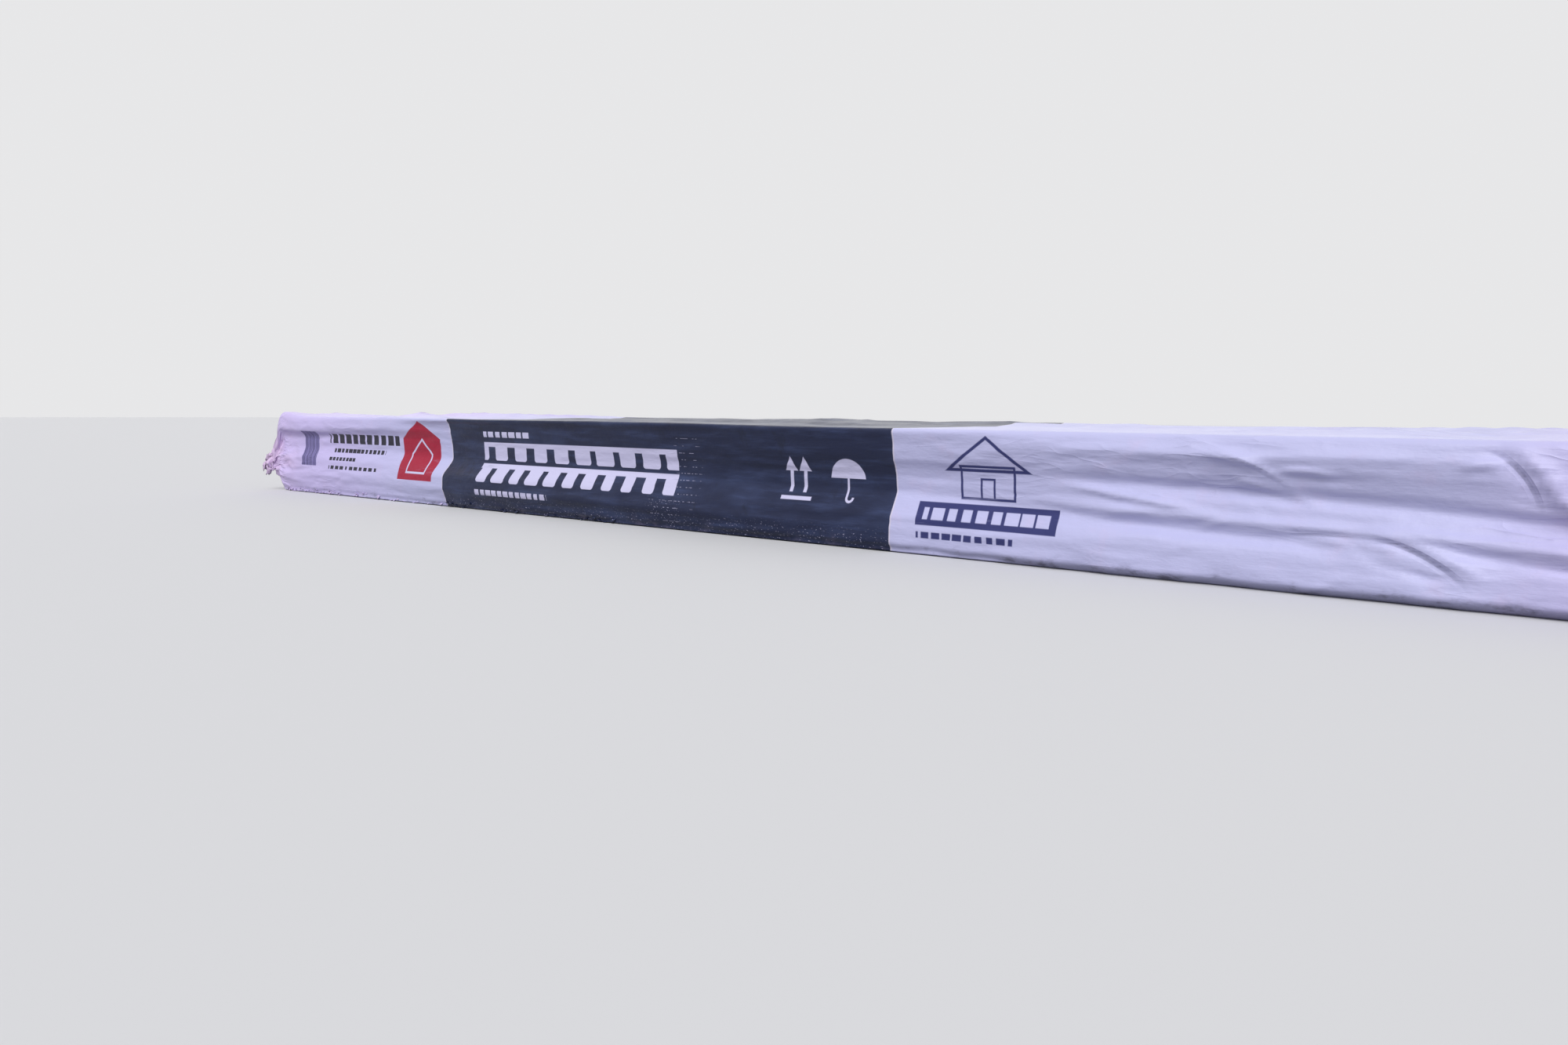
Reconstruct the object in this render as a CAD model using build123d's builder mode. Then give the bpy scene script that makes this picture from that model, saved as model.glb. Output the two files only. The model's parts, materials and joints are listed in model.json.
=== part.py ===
from build123d import *
import os

# An asphalt shingle bundle as it is sold: laminated shingles stacked flat in a film wrapper.
# Millimetres. X runs along the bundle, -Y is its front, +Z is up.
# The origin is the middle of the underside, where the bundle lies on the floor.

# One shingle: a toothed face ply glued to a backer strip
shingle_length = 1000.0
shingle_width = 337.0
ply_thickness = 2.0

# The cut-outs between the teeth; the die's pattern is longer than one shingle
cutout_depth = 143.0
tooth_widths = (112.0, 150.0, 88.0, 134.0, 98.0)
cutout_widths = (70.0, 92.0, 60.0, 84.0, 66.0)
cutout_taper = 5.0
cutout_corner_radius = 3.0
smallest_end_tooth = 40.0

# The stack: each pair lies back to back, so that its backer strips share one layer
shingle_count = 22
shingle_gap = 0.05
backer_clearance = 4.0
side_jog = 0.5
end_jog = 1.0

# How far back each pair lies, from the lowest one up: the stack stands out low down and is hollow above
pair_shifts = (-2.6, -4.2, -4.0, -0.5, 2.6, 3.9, 4.2, 3.8, 2.9, 1.4, 0.4)

# The film wrapper, drawn tight over the top and looser along the sides and ends
film_thickness = 0.4
film_gap = 0.2
side_looseness = 1.3
end_looseness = 1.0
fold_radius = 3.2

# Each end is drawn together at half height and welded; the flattened film is wider there than the bundle
closure_depth = 8.0
seal_length = 7.0
seal_thickness = 1.2
ear_reach = 4.0
ear_radius = 5.0
slot_rounding = 0.25

backer_width = (shingle_width - backer_clearance) / 2 - side_jog
pair_pitch = 3 * ply_thickness + 2 * shingle_gap
whole_pairs, odd_shingle = divmod(shingle_count, 2)
stack_height = whole_pairs * pair_pitch - shingle_gap + odd_shingle * (2 * ply_thickness + shingle_gap)
stack_bottom = film_thickness + film_gap
largest_shift = max(abs(shift) for shift in pair_shifts)

room_length = shingle_length + 2 * (end_jog + end_looseness)
room_width = shingle_width + 2 * (largest_shift + side_jog + side_looseness)
room_height = stack_height + 2 * film_gap
wrapper_length = room_length + 2 * film_thickness
wrapper_width = room_width + 2 * film_thickness
wrapper_height = room_height + 2 * film_thickness
seal_width = wrapper_width + 2 * ear_reach


def cutout_spans(first_tooth):
    """Left and right edge of each cut-out, from the shingle's left end, starting at that tooth of the die."""
    spans = []
    start = tooth_widths[first_tooth % len(tooth_widths)]
    step = first_tooth
    while start + cutout_widths[step % len(cutout_widths)] + smallest_end_tooth < shingle_length:
        end = start + cutout_widths[step % len(cutout_widths)]
        spans.append((start, end))
        step += 1
        start = end + tooth_widths[step % len(tooth_widths)]
    return spans


def make_shingle(face, first_tooth):
    """A laminated shingle whose granule side lies in the plane `face`, with its teeth towards the plane's -Y."""
    front = -shingle_width / 2
    cut_back = front + cutout_depth
    left = -shingle_length / 2

    with BuildPart() as shingle:
        with BuildSketch(face):
            Rectangle(shingle_length, shingle_width)
            for start, end in cutout_spans(first_tooth):
                with BuildSketch(mode=Mode.PRIVATE) as cutout:
                    with BuildLine():
                        Polyline(
                            (left + start, front),
                            (left + start + cutout_taper, cut_back),
                            (left + end - cutout_taper, cut_back),
                            (left + end, front),
                            close=True,
                        )
                    make_face()
                    inner_corners = cutout.vertices().group_by(Axis.Y)[-1]
                    fillet(inner_corners, cutout_corner_radius)
                add(cutout.sketch, mode=Mode.SUBTRACT)
        extrude(amount=-ply_thickness)

        with BuildSketch(face.offset(-ply_thickness)):
            with Locations((0, front)):
                Rectangle(shingle_length, backer_width, align=(Align.CENTER, Align.MIN))
        extrude(amount=-ply_thickness)
    return shingle


def shingle_plane(index):
    """The plane of one shingle's granule side: even ones lie face down, odd ones face up on top of them."""
    pair, face_up = divmod(index, 2)
    pair_bottom = stack_bottom + pair * pair_pitch
    x = end_jog * (index * 2 % 5 - 2) / 2
    y = pair_shifts[pair % len(pair_shifts)] + side_jog * (index * 3 % 7 - 3) / 3
    if face_up:
        top = pair_bottom + pair_pitch - shingle_gap
        return Plane(origin=(x, y, top), x_dir=(1, 0, 0), z_dir=(0, 0, 1))
    return Plane(origin=(x, y, pair_bottom), x_dir=(1, 0, 0), z_dir=(0, 0, -1))


def across(x):
    """The plane across the bundle at x, centred at half its height, with its own X along the bundle's width."""
    return Plane(origin=(x, 0, wrapper_height / 2), x_dir=(0, 1, 0), z_dir=(1, 0, 0))


def make_envelope(length, width, height, radius, slot):
    """The wrapper's form as a solid: a straight tube that runs in to a flat slot at half height at both ends."""
    with BuildPart() as envelope:
        with BuildSketch(across(-length / 2)):
            RectangleRounded(width, height, radius)
        extrude(amount=length)
        for side in (-1, 1):
            with BuildSketch(across(side * length / 2)):
                RectangleRounded(width, height, radius)
            with BuildSketch(across(side * (length / 2 + closure_depth))):
                RectangleRounded(*slot)
            loft()
    return envelope.part


def make_wrapper():
    """The film: a tube round the stack, drawn together at both ends into a flat weld with rounded ears."""
    slot = (seal_width, seal_thickness, slot_rounding * seal_thickness)
    room_slot_width = seal_width - 2 * film_thickness
    room_slot_height = seal_thickness - 2 * film_thickness
    room_slot = (room_slot_width, room_slot_height, slot_rounding * room_slot_height)
    outside = make_envelope(wrapper_length, wrapper_width, wrapper_height, fold_radius, slot)
    room = make_envelope(room_length, room_width, room_height, fold_radius - film_thickness, room_slot)
    seal_underside = Plane.XY.offset((wrapper_height - seal_thickness) / 2)

    with BuildPart() as wrapper:
        add(outside)
        for side in (-1, 1):
            with BuildSketch(seal_underside) as seal:
                with Locations((side * (wrapper_length / 2 + closure_depth + seal_length / 2), 0)):
                    Rectangle(seal_length, seal_width)
                ear_corners = seal.vertices().group_by(Axis.X)[-1 if side > 0 else 0]
                fillet(ear_corners, ear_radius)
            extrude(amount=seal_thickness)
        add(room, mode=Mode.SUBTRACT)
    return wrapper


os.makedirs("parts", exist_ok=True)

for index in range(shingle_count):
    shingle = make_shingle(shingle_plane(index), first_tooth=index)
    shingle.part.label = f"shingle_{index + 1:02d}"
    export_step(shingle.part, f"parts/{shingle.part.label}.step")

wrapper = make_wrapper()
wrapper.part.label = "wrapper"
export_step(wrapper.part, "parts/wrapper.step")
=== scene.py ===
"""Dresses a film-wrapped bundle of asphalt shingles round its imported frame.

The shingles keep their CAD solids. The wrapper is replaced by a modelled sheet of printed film: a tube that
follows the uneven stack, with its folds, its drawn-in ends, its crumpled ears, small torn flaps and a tear.
"""
import json
import logging
import math
import operator
from collections.abc import Sequence
from dataclasses import dataclass
from enum import Enum
from functools import reduce

import bpy
import numpy as np
from mathutils import Matrix, Vector
from mathutils.bvhtree import BVHTree

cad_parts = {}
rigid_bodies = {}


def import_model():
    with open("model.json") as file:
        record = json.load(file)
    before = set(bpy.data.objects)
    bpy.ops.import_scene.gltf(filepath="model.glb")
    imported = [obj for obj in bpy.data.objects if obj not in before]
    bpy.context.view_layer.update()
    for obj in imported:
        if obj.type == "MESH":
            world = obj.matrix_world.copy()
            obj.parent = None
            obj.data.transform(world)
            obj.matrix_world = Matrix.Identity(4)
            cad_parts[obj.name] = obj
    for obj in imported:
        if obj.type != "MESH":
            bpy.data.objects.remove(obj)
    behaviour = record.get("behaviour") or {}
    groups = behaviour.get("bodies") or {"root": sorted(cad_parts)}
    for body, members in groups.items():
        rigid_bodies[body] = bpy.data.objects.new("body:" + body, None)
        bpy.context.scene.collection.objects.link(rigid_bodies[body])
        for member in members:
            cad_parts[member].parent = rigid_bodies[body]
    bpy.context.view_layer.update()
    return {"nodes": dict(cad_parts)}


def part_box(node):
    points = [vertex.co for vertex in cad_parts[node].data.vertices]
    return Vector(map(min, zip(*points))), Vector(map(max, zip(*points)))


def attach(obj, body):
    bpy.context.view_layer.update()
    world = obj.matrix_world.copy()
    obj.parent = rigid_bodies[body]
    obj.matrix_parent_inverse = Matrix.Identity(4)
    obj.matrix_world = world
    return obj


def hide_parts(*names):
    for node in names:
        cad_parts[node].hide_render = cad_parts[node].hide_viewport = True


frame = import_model()
MM = 0.001
HAIR = 0.01 * MM

log = logging.getLogger("bundle")
Array = np.ndarray
Colour = tuple[float, float, float]
# The left, right, lower and upper edge of a patch of the unrolled film
Limits = tuple[float, float, float, float]
# Where a smooth step starts and ends; the start may be the larger of the two
Span = tuple[float, float]


# Materials: sums on sockets, written as plain expressions


class Value:
    """A number that flows through a material's nodes, with the operators that the finishes use."""

    def __init__(self, graph: "Graph", socket: bpy.types.NodeSocket) -> None:
        """Keeps the socket and the graph that it belongs to."""
        self.graph = graph
        self.socket = socket

    def _with(self, operation: str, *others: "Value | float", first: float | None = None) -> "Value":
        """Adds a Math node.

        Args:
            operation: the node's operation.
            others: what follows this value in the node's sockets.
            first: what comes before this value, for a reflected operator.

        Returns:
            The node's result.
        """
        inputs = [self, *others] if first is None else [first, self, *others]
        return self.graph.node("ShaderNodeMath", {"operation": operation}, dict(enumerate(inputs)))

    def __add__(self, other: "Value | float") -> "Value":
        """Sum."""
        return self._with("ADD", other)

    __radd__ = __add__

    def __sub__(self, other: "Value | float") -> "Value":
        """Difference."""
        return self._with("SUBTRACT", other)

    def __rsub__(self, other: float) -> "Value":
        """Difference, with this value taken from a number."""
        return self._with("SUBTRACT", first=other)

    def __mul__(self, other: "Value | float") -> "Value":
        """Product."""
        return self._with("MULTIPLY", other)

    def __truediv__(self, other: "Value | float") -> "Value":
        """Quotient."""
        return self._with("DIVIDE", other)

    def __neg__(self) -> "Value":
        """The value with its sign turned."""
        return self * -1.0

    def __abs__(self) -> "Value":
        """Distance from nought."""
        return self._with("ABSOLUTE")

    def __pow__(self, power: float) -> "Value":
        """Power."""
        return self._with("POWER", power)

    def lowest(self, other: "Value | float") -> "Value":
        """The smaller of the two."""
        return self._with("MINIMUM", other)

    def highest(self, other: "Value | float") -> "Value":
        """The larger of the two."""
        return self._with("MAXIMUM", other)

    def whole(self) -> "Value":
        """The whole number below."""
        return self._with("FLOOR")

    def rest(self) -> "Value":
        """What is left above the whole number below."""
        return self._with("FRACT")

    def ease(self, low: float, high: float) -> "Value":
        """Adds a smooth step.

        Args:
            low: where it starts, which may be above its end.
            high: where it ends.

        Returns:
            0 at the start and before it, and 1 at the end and past it.
        """
        return self.graph.node(
            "ShaderNodeMapRange",
            {"interpolation_type": "SMOOTHSTEP"},
            {"Value": self, "From Min": low, "From Max": high},
        )

    def crest(self) -> "Value":
        """1 where a noise passes its middle, and less to both sides."""
        return 1.0 - abs(self - 0.5) * 2.0


class Graph:
    """The node tree of a material or of the world."""

    def __init__(self, owner: bpy.types.Material | bpy.types.World, output: str) -> None:
        """Clears the owner's nodes and adds its output.

        Args:
            owner: what the nodes belong to.
            output: the type of its output node.
        """
        owner.use_nodes = True
        self.owner = owner
        self.tree = owner.node_tree
        self.tree.nodes.clear()
        self.output = self.tree.nodes.new(output)

    @classmethod
    def of_material(cls, name: str) -> "Graph":
        """Starts a material that holds only its output."""
        return cls(bpy.data.materials.new(name), "ShaderNodeOutputMaterial")

    def raw(self, kind: str, settings: dict, inputs: dict) -> bpy.types.Node:
        """Adds a node.

        Args:
            kind: the node's type.
            settings: its properties, which are set first.
            inputs: value or link of each socket, by name or by number.

        Returns:
            The node.
        """
        node = self.tree.nodes.new(kind)
        for key, setting in settings.items():
            setattr(node, key, setting)
        for key, given in inputs.items():
            socket = node.inputs[key]
            if isinstance(given, Value):
                self.tree.links.new(given.socket, socket)
            elif isinstance(given, bpy.types.NodeSocket):
                self.tree.links.new(given, socket)
            else:
                socket.default_value = given
        return node

    def node(self, kind: str, settings: dict, inputs: dict, output: str | int = 0) -> Value:
        """Adds a node and returns one of its outputs as a value."""
        return Value(self, self.raw(kind, settings, inputs).outputs[output])

    def mix(self, amount: Value | float, low: Value | Colour, high: Value | Colour) -> Value:
        """Mixes two colours.

        Args:
            amount: 0 for the first and 1 for the second.
            low: the first colour, linear, or a value that carries one.
            high: the second.

        Returns:
            The mixed colour.
        """
        mixer = self.raw("ShaderNodeMix", {"data_type": "RGBA"}, {0: amount})
        for number, given in ((6, low), (7, high)):
            if isinstance(given, Value):
                self.tree.links.new(given.socket, mixer.inputs[number])
            else:
                mixer.inputs[number].default_value = (*given, 1.0)
        return Value(self, mixer.outputs[2])

    def place(self, across: Value | float, along: Value | float, third: Value | float = 0.0) -> Value:
        """Joins three numbers to one vector."""
        return self.node("ShaderNodeCombineXYZ", {}, {0: across, 1: along, 2: third})

    def noise(self, where: Value, scale: float, detail: float = 3.0, roughness: float = 0.5) -> Value:
        """Smooth noise from 0 to 1, with its middle at 0.5."""
        sockets = {"Vector": where, "Scale": scale, "Detail": detail, "Roughness": roughness}
        return self.node("ShaderNodeTexNoise", {}, sockets)

    def chance(self, where: Value) -> Value:
        """A random number from 0 to 1 for each whole-numbered place."""
        return self.node("ShaderNodeTexWhiteNoise", {"noise_dimensions": "3D"}, {"Vector": where})

    def bump(self, height: Value, distance: float) -> Value:
        """A normal that follows a height given in units of distance."""
        return self.node("ShaderNodeBump", {}, {"Height": height, "Distance": distance})

    def seen(self) -> Value:
        """Tells what the eye sees from other light.

        Returns:
            1 for what the eye sees, itself, mirrored or through something clear, and 0 for the rest.
        """
        rays = self.raw("ShaderNodeLightPath", {}, {}).outputs
        kinds = [Value(self, rays[f"Is {kind} Ray"]) for kind in ("Camera", "Glossy", "Transmission")]
        return reduce(Value.highest, kinds)

    def surface(self, **sockets: Value | float | Colour) -> bpy.types.Material:
        """Adds the Principled shader and joins it to the output.

        Args:
            sockets: its inputs, with underscores for the spaces in their names.

        Returns:
            The finished material.
        """
        inputs = {}
        for key, given in sockets.items():
            inputs[key.replace("_", " ")] = (*given, 1.0) if isinstance(given, tuple) else given
        shader = self.raw("ShaderNodeBsdfPrincipled", {}, inputs)
        self.tree.links.new(shader.outputs[0], self.output.inputs["Surface"])
        return self.owner


def srgb(red: int, green: int, blue: int) -> Colour:
    """Turns a colour from 0 to 255 as a screen shows it into linear numbers."""
    shares = (red / 255.0, green / 255.0, blue / 255.0)
    return tuple(s / 12.92 if s <= 0.04045 else ((s + 0.055) / 1.055) ** 2.4 for s in shares)


# The print on the film, drawn as flat shapes in metres on the unrolled sheet


@dataclass(frozen=True)
class Stencil:
    """A flat shape on the film, as the distance to its edge: negative inside."""

    distance: Value

    def __or__(self, other: "Stencil") -> "Stencil":
        """Both shapes."""
        return Stencil(self.distance.lowest(other.distance))

    def __and__(self, other: "Stencil") -> "Stencil":
        """What the two shapes share."""
        return Stencil(self.distance.highest(other.distance))

    def __sub__(self, other: "Stencil") -> "Stencil":
        """This shape without the other."""
        return Stencil(self.distance.highest(-other.distance))

    def meet(self, other: "Stencil", radius: float) -> "Stencil":
        """Takes what the two shapes share, with the corner between their edges rounded.

        Args:
            other: the second shape.
            radius: the corner's radius.

        Returns:
            The rounded shape.
        """
        first, second = self.distance + radius, other.distance + radius
        outer = (first.highest(0.0) ** 2.0 + second.highest(0.0) ** 2.0) ** 0.5
        return Stencil(outer + first.highest(second).lowest(0.0) - radius)

    def line(self, width: float) -> "Stencil":
        """A line of that width along the shape's edge."""
        return Stencil(abs(self.distance) - width / 2)

    def ink(self, softness: float = 0.25 * MM) -> Value:
        """1 inside the shape and 0 outside."""
        return self.distance.ease(softness, -softness)


@dataclass(frozen=True)
class PrintedLine:
    """A row of dashes of uneven length, as a line of small print looks from afar.

    Attributes:
        left: where the row starts.
        right: where it ends.
        low: the foot of the dashes.
        high: their top.
        pitch: the length of a cell, which holds one dash.
        seed: what the lengths of the dashes are drawn from.
        least: the smallest share of a cell that is inked.
        most: the largest share.
        round: the radius of the dashes' corners.
    """

    left: float
    right: float
    low: float
    high: float
    pitch: float
    seed: float
    least: float = 0.55
    most: float = 0.95
    round: float = 0.3 * MM


class Plate:
    """Draws stencils on the film, by length from its left end and height from the front's lower edge."""

    def __init__(self, graph: Graph, along: Value, up: Value) -> None:
        """Keeps the coordinates of the unrolled film.

        Args:
            graph: the nodes of its material.
            along: the length from its left end.
            up: the height from the front's lower edge.
        """
        self.graph = graph
        self.along = along
        self.up = up

    def block(self, left: float, right: float, low: float, high: float) -> Stencil:
        """Draws an upright rectangle.

        Args:
            left: its left edge.
            right: its right edge.
            low: its lower edge.
            high: its upper edge.

        Returns:
            The rectangle.
        """
        upright = abs(self.up - (low + high) / 2) - (high - low) / 2
        return self.strip(left, right) & Stencil(upright)

    def strip(self, left: float, right: float) -> Stencil:
        """A band that runs right round the girth."""
        return Stencil(abs(self.along - (left + right) / 2) - (right - left) / 2)

    def disc(self, centre: tuple[float, float], radius: float) -> Stencil:
        """A round spot."""
        squares = (self.along - centre[0]) ** 2.0 + (self.up - centre[1]) ** 2.0
        return Stencil(squares ** 0.5 - radius)

    def gable(self, centre: float, foot: float, peak: float, slope: float) -> Stencil:
        """Draws what lies between a level foot and two roof slopes.

        Args:
            centre: where the slopes meet along the film.
            foot: the height of the foot.
            peak: the height at which the slopes meet.
            slope: how far they fall in a unit of length.

        Returns:
            The gable, without limits at its sides.
        """
        steepness = math.cos(math.atan(slope))
        roof = (self.up + abs(self.along - centre) * slope - peak) * steepness
        return Stencil(roof.highest(foot - self.up))

    def dashes(self, line: PrintedLine) -> Stencil:
        """Draws a row of dashes.

        Args:
            line: the row.

        Returns:
            The dashes.
        """
        cell = self.along / line.pitch + line.seed
        chance = self.graph.chance(self.graph.place(cell.whole(), line.seed))
        share = chance * (line.most - line.least) + line.least
        sideways = Stencil((abs(cell.rest() - 0.5) - share / 2) * line.pitch)
        upright = Stencil(abs(self.up - (line.low + line.high) / 2) - (line.high - line.low) / 2)
        return sideways.meet(upright, line.round) & self.strip(line.left, line.right)

    def rows(self, lines: Sequence[PrintedLine]) -> Stencil:
        """Several rows of dashes."""
        return reduce(operator.or_, [self.dashes(line) for line in lines])


@dataclass(frozen=True)
class Badge:
    """A gabled badge with the outline of a smaller, steeper one in it."""

    centre: float = 0.226
    half_width: float = 24.5 * MM
    foot: float = 0.0200
    peak: float = 0.0665
    slope: float = 0.55
    inner_half_width: float = 13.0 * MM
    inner_foot: float = 0.0260
    inner_peak: float = 0.0525
    inner_slope: float = 0.9
    pen: float = 1.6 * MM

    def shape(self, plate: Plate) -> Stencil:
        """The badge, filled."""
        sides = plate.strip(self.centre - self.half_width, self.centre + self.half_width)
        return plate.gable(self.centre, self.foot, self.peak, self.slope) & sides

    def outline(self, plate: Plate) -> Stencil:
        """Draws the outline in it.

        Args:
            plate: the film that it is drawn on.

        Returns:
            The outline.
        """
        sides = plate.strip(self.centre - self.inner_half_width, self.centre + self.inner_half_width)
        inner = plate.gable(self.centre, self.inner_foot, self.inner_peak, self.inner_slope) & sides
        return inner.line(self.pen)


@dataclass(frozen=True)
class Course:
    """A course of toothed shingles: a strip along the top of a row of teeth."""

    teeth: PrintedLine
    strip: float = 3.4 * MM

    def draw(self, plate: Plate) -> Stencil:
        """The teeth and the strip."""
        row = self.teeth
        return plate.dashes(row) | plate.block(row.left, row.right, row.high - self.strip, row.high)


@dataclass(frozen=True)
class UpArrows:
    """The common sign for this side up: two arrows over a line."""

    centres: tuple[float, float] = (0.600, 0.610)
    ground: Limits = (0.594, 0.616, 0.0260, 0.0282)
    shaft_half_width: float = 1.2 * MM
    shaft_foot: float = 0.0305
    shaft_top: float = 0.0440
    head_foot: float = 0.0430
    head_peak: float = 0.0515
    head_slope: float = 1.9

    def draw(self, plate: Plate) -> Stencil:
        """Draws the sign.

        Args:
            plate: the film that it is drawn on.

        Returns:
            The line and the arrows.
        """
        sign = plate.block(*self.ground)
        for centre in self.centres:
            left, right = centre - self.shaft_half_width, centre + self.shaft_half_width
            shaft = plate.block(left, right, self.shaft_foot, self.shaft_top)
            sign = sign | shaft | plate.gable(centre, self.head_foot, self.head_peak, self.head_slope)
        return sign


@dataclass(frozen=True)
class Umbrella:
    """The common sign for keeping dry: a crown, which is part of a disc, over a stem with a hook."""

    crown_centre: tuple[float, float] = (0.6400, 0.0395)
    crown_radius: float = 11.8 * MM
    crown_part: Limits = (0.628, 0.652, 0.0400, 0.0520)
    stem: Limits = (0.6393, 0.6407, 0.0290, 0.0405)
    hook_centre: tuple[float, float] = (0.6422, 0.0290)
    hook_radius: float = 2.2 * MM
    hook_width: float = 1.4 * MM
    hook_part: Limits = (0.638, 0.646, 0.0240, 0.0292)

    def draw(self, plate: Plate) -> Stencil:
        """Draws the sign.

        Args:
            plate: the film that it is drawn on.

        Returns:
            The crown, the stem and the hook.
        """
        crown = plate.disc(self.crown_centre, self.crown_radius) & plate.block(*self.crown_part)
        hook = plate.disc(self.hook_centre, self.hook_radius).line(self.hook_width)
        return crown | plate.block(*self.stem) | (hook & plate.block(*self.hook_part))


@dataclass(frozen=True)
class HouseMark:
    """A line drawing of a gabled house, over a plaque with a row of blank marks and a line of print."""

    walls: Limits = (0.7130, 0.7440, 0.0330, 0.0500)
    wall_line: float = 1.4 * MM
    door: Limits = (0.7247, 0.7323, 0.0330, 0.0435)
    door_line: float = 1.2 * MM
    roof_centre: float = 0.7285
    roof_foot: float = 0.0480
    roof_peak: float = 0.0650
    roof_slope: float = 0.74
    roof_line: float = 1.7 * MM
    plaque: Limits = (0.688, 0.769, 0.0175, 0.0300)
    marks: PrintedLine = PrintedLine(0.692, 0.765, 0.0207, 0.0270, 0.0086, 53.0)
    caption: PrintedLine = PrintedLine(0.689, 0.746, 0.0105, 0.0140, 0.0064, 59.0)

    def draw(self, plate: Plate) -> Stencil:
        """Draws the mark.

        Args:
            plate: the film that it is drawn on.

        Returns:
            The house, the plaque and the small print.
        """
        roof = plate.gable(self.roof_centre, self.roof_foot, self.roof_peak, self.roof_slope)
        house = plate.block(*self.walls).line(self.wall_line) | roof.line(self.roof_line)
        house = house | plate.block(*self.door).line(self.door_line)
        plaque = plate.block(*self.plaque) - plate.dashes(self.marks)
        return house | plaque | plate.dashes(self.caption)


@dataclass(frozen=True)
class PrintLayout:
    """What is printed on the unrolled film, in metres. The bars stand for no number."""

    panel: tuple[float, float] = (0.266, 0.672)
    bar_block: Limits = (0.050, 0.073, 0.026, 0.056)
    bars: tuple[PrintedLine, ...] = (
        PrintedLine(0.050, 0.073, 0.026, 0.056, 0.0023, 5.0, 0.10, 0.62),
        PrintedLine(0.050, 0.073, 0.026, 0.056, 0.0061, 9.0, 0.10, 0.40),
    )
    stamp: tuple[PrintedLine, ...] = (
        PrintedLine(0.091, 0.196, 0.0465, 0.0545, 0.0105, 3.0, 0.62, 0.9),
        PrintedLine(0.098, 0.176, 0.0385, 0.0420, 0.0060, 11.0),
        PrintedLine(0.094, 0.136, 0.0315, 0.0345, 0.0052, 17.0),
        PrintedLine(0.094, 0.168, 0.0240, 0.0270, 0.0074, 23.0, 0.2, 0.95),
    )
    badge: Badge = Badge()
    courses: tuple[Course, ...] = (
        Course(PrintedLine(0.306, 0.508, 0.0390, 0.0525, 0.0225, 41.0, 0.5, 0.80, 2.2 * MM)),
        Course(PrintedLine(0.306, 0.508, 0.0230, 0.0365, 0.0190, 47.0, 0.5, 0.80, 2.2 * MM)),
    )
    captions: tuple[PrintedLine, ...] = (
        PrintedLine(0.307, 0.360, 0.0562, 0.0602, 0.0082, 31.0, 0.6, 0.92),
        PrintedLine(0.306, 0.389, 0.0130, 0.0172, 0.0068, 37.0, 0.55, 0.92),
    )
    arrows: UpArrows = UpArrows()
    umbrella: Umbrella = Umbrella()
    house: HouseMark = HouseMark()

    def white(self, plate: Plate) -> Stencil:
        """Everything that is printed in white."""
        drawn = [part.draw(plate) for part in (*self.courses, self.arrows, self.umbrella)]
        return reduce(operator.or_, drawn) | self.badge.outline(plate) | plate.rows(self.captions)


# Finishes


@dataclass(frozen=True)
class Texture:
    """A layer of noise on the unrolled film.

    Attributes:
        scale: how many waves it has in a metre.
        detail: how many finer layers it has.
        roughness: how strong the finer layers are.
        stretch: what lengths along the film are multiplied by; below 1 the noise is drawn out.
        squeeze: what lengths round the girth are multiplied by.
        slant: how far it climbs along the film.
        shift: how far it is moved along.
    """

    scale: float
    detail: float
    roughness: float = 0.5
    stretch: float = 1.0
    squeeze: float = 1.0
    slant: float = 0.0
    shift: float = 0.0

    def on(self, plate: Plate) -> Value:
        """Spreads the noise over the film.

        Args:
            plate: the film.

        Returns:
            The noise, from 0 to 1 with its middle at 0.5.
        """
        sideways = plate.along * self.stretch + self.shift
        upright = plate.up * self.squeeze + plate.along * self.slant
        where = plate.graph.place(sideways, upright)
        return plate.graph.noise(where, self.scale, self.detail, self.roughness)


@dataclass(frozen=True)
class CreaseArc:
    """A sharp crease along part of a circle on the film."""

    centre: tuple[float, float]
    radius: float
    shown: Limits
    width: float
    depth: float
    ridge_place: float = 1.6
    ridge_height: float = 1.2
    end_fade: float = 8 * MM

    def relief(self, plate: Plate) -> Value:
        """Presses the crease into the film.

        Args:
            plate: the film.

        Returns:
            The height of a narrow groove along the circle, with a broader ridge outside it.
        """
        off = plate.disc(self.centre, self.radius).distance / self.width
        groove = (1.0 - abs(off)).highest(0.0)
        ridge = (1.0 - abs(off / self.ridge_place - 1.0)).highest(0.0) ** 2.0
        shown = plate.block(*self.shown).ink(self.end_fade)
        return (ridge * self.ridge_height - groove) * shown * self.depth


CREASE_ARCS = (
    CreaseArc((0.8957, -0.0371), 0.0646, (0.912, 0.936, 0.010, 0.032), 1.6 * MM, 0.32),
    CreaseArc((0.9283, 0.0348), 0.0337, (0.945, 0.968, 0.048, 0.060), 1.5 * MM, 0.38),
    CreaseArc((0.7886, -0.0823), 0.1534, (0.826, 0.868, 0.050, 0.070), 1.4 * MM, 0.16),
)


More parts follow.
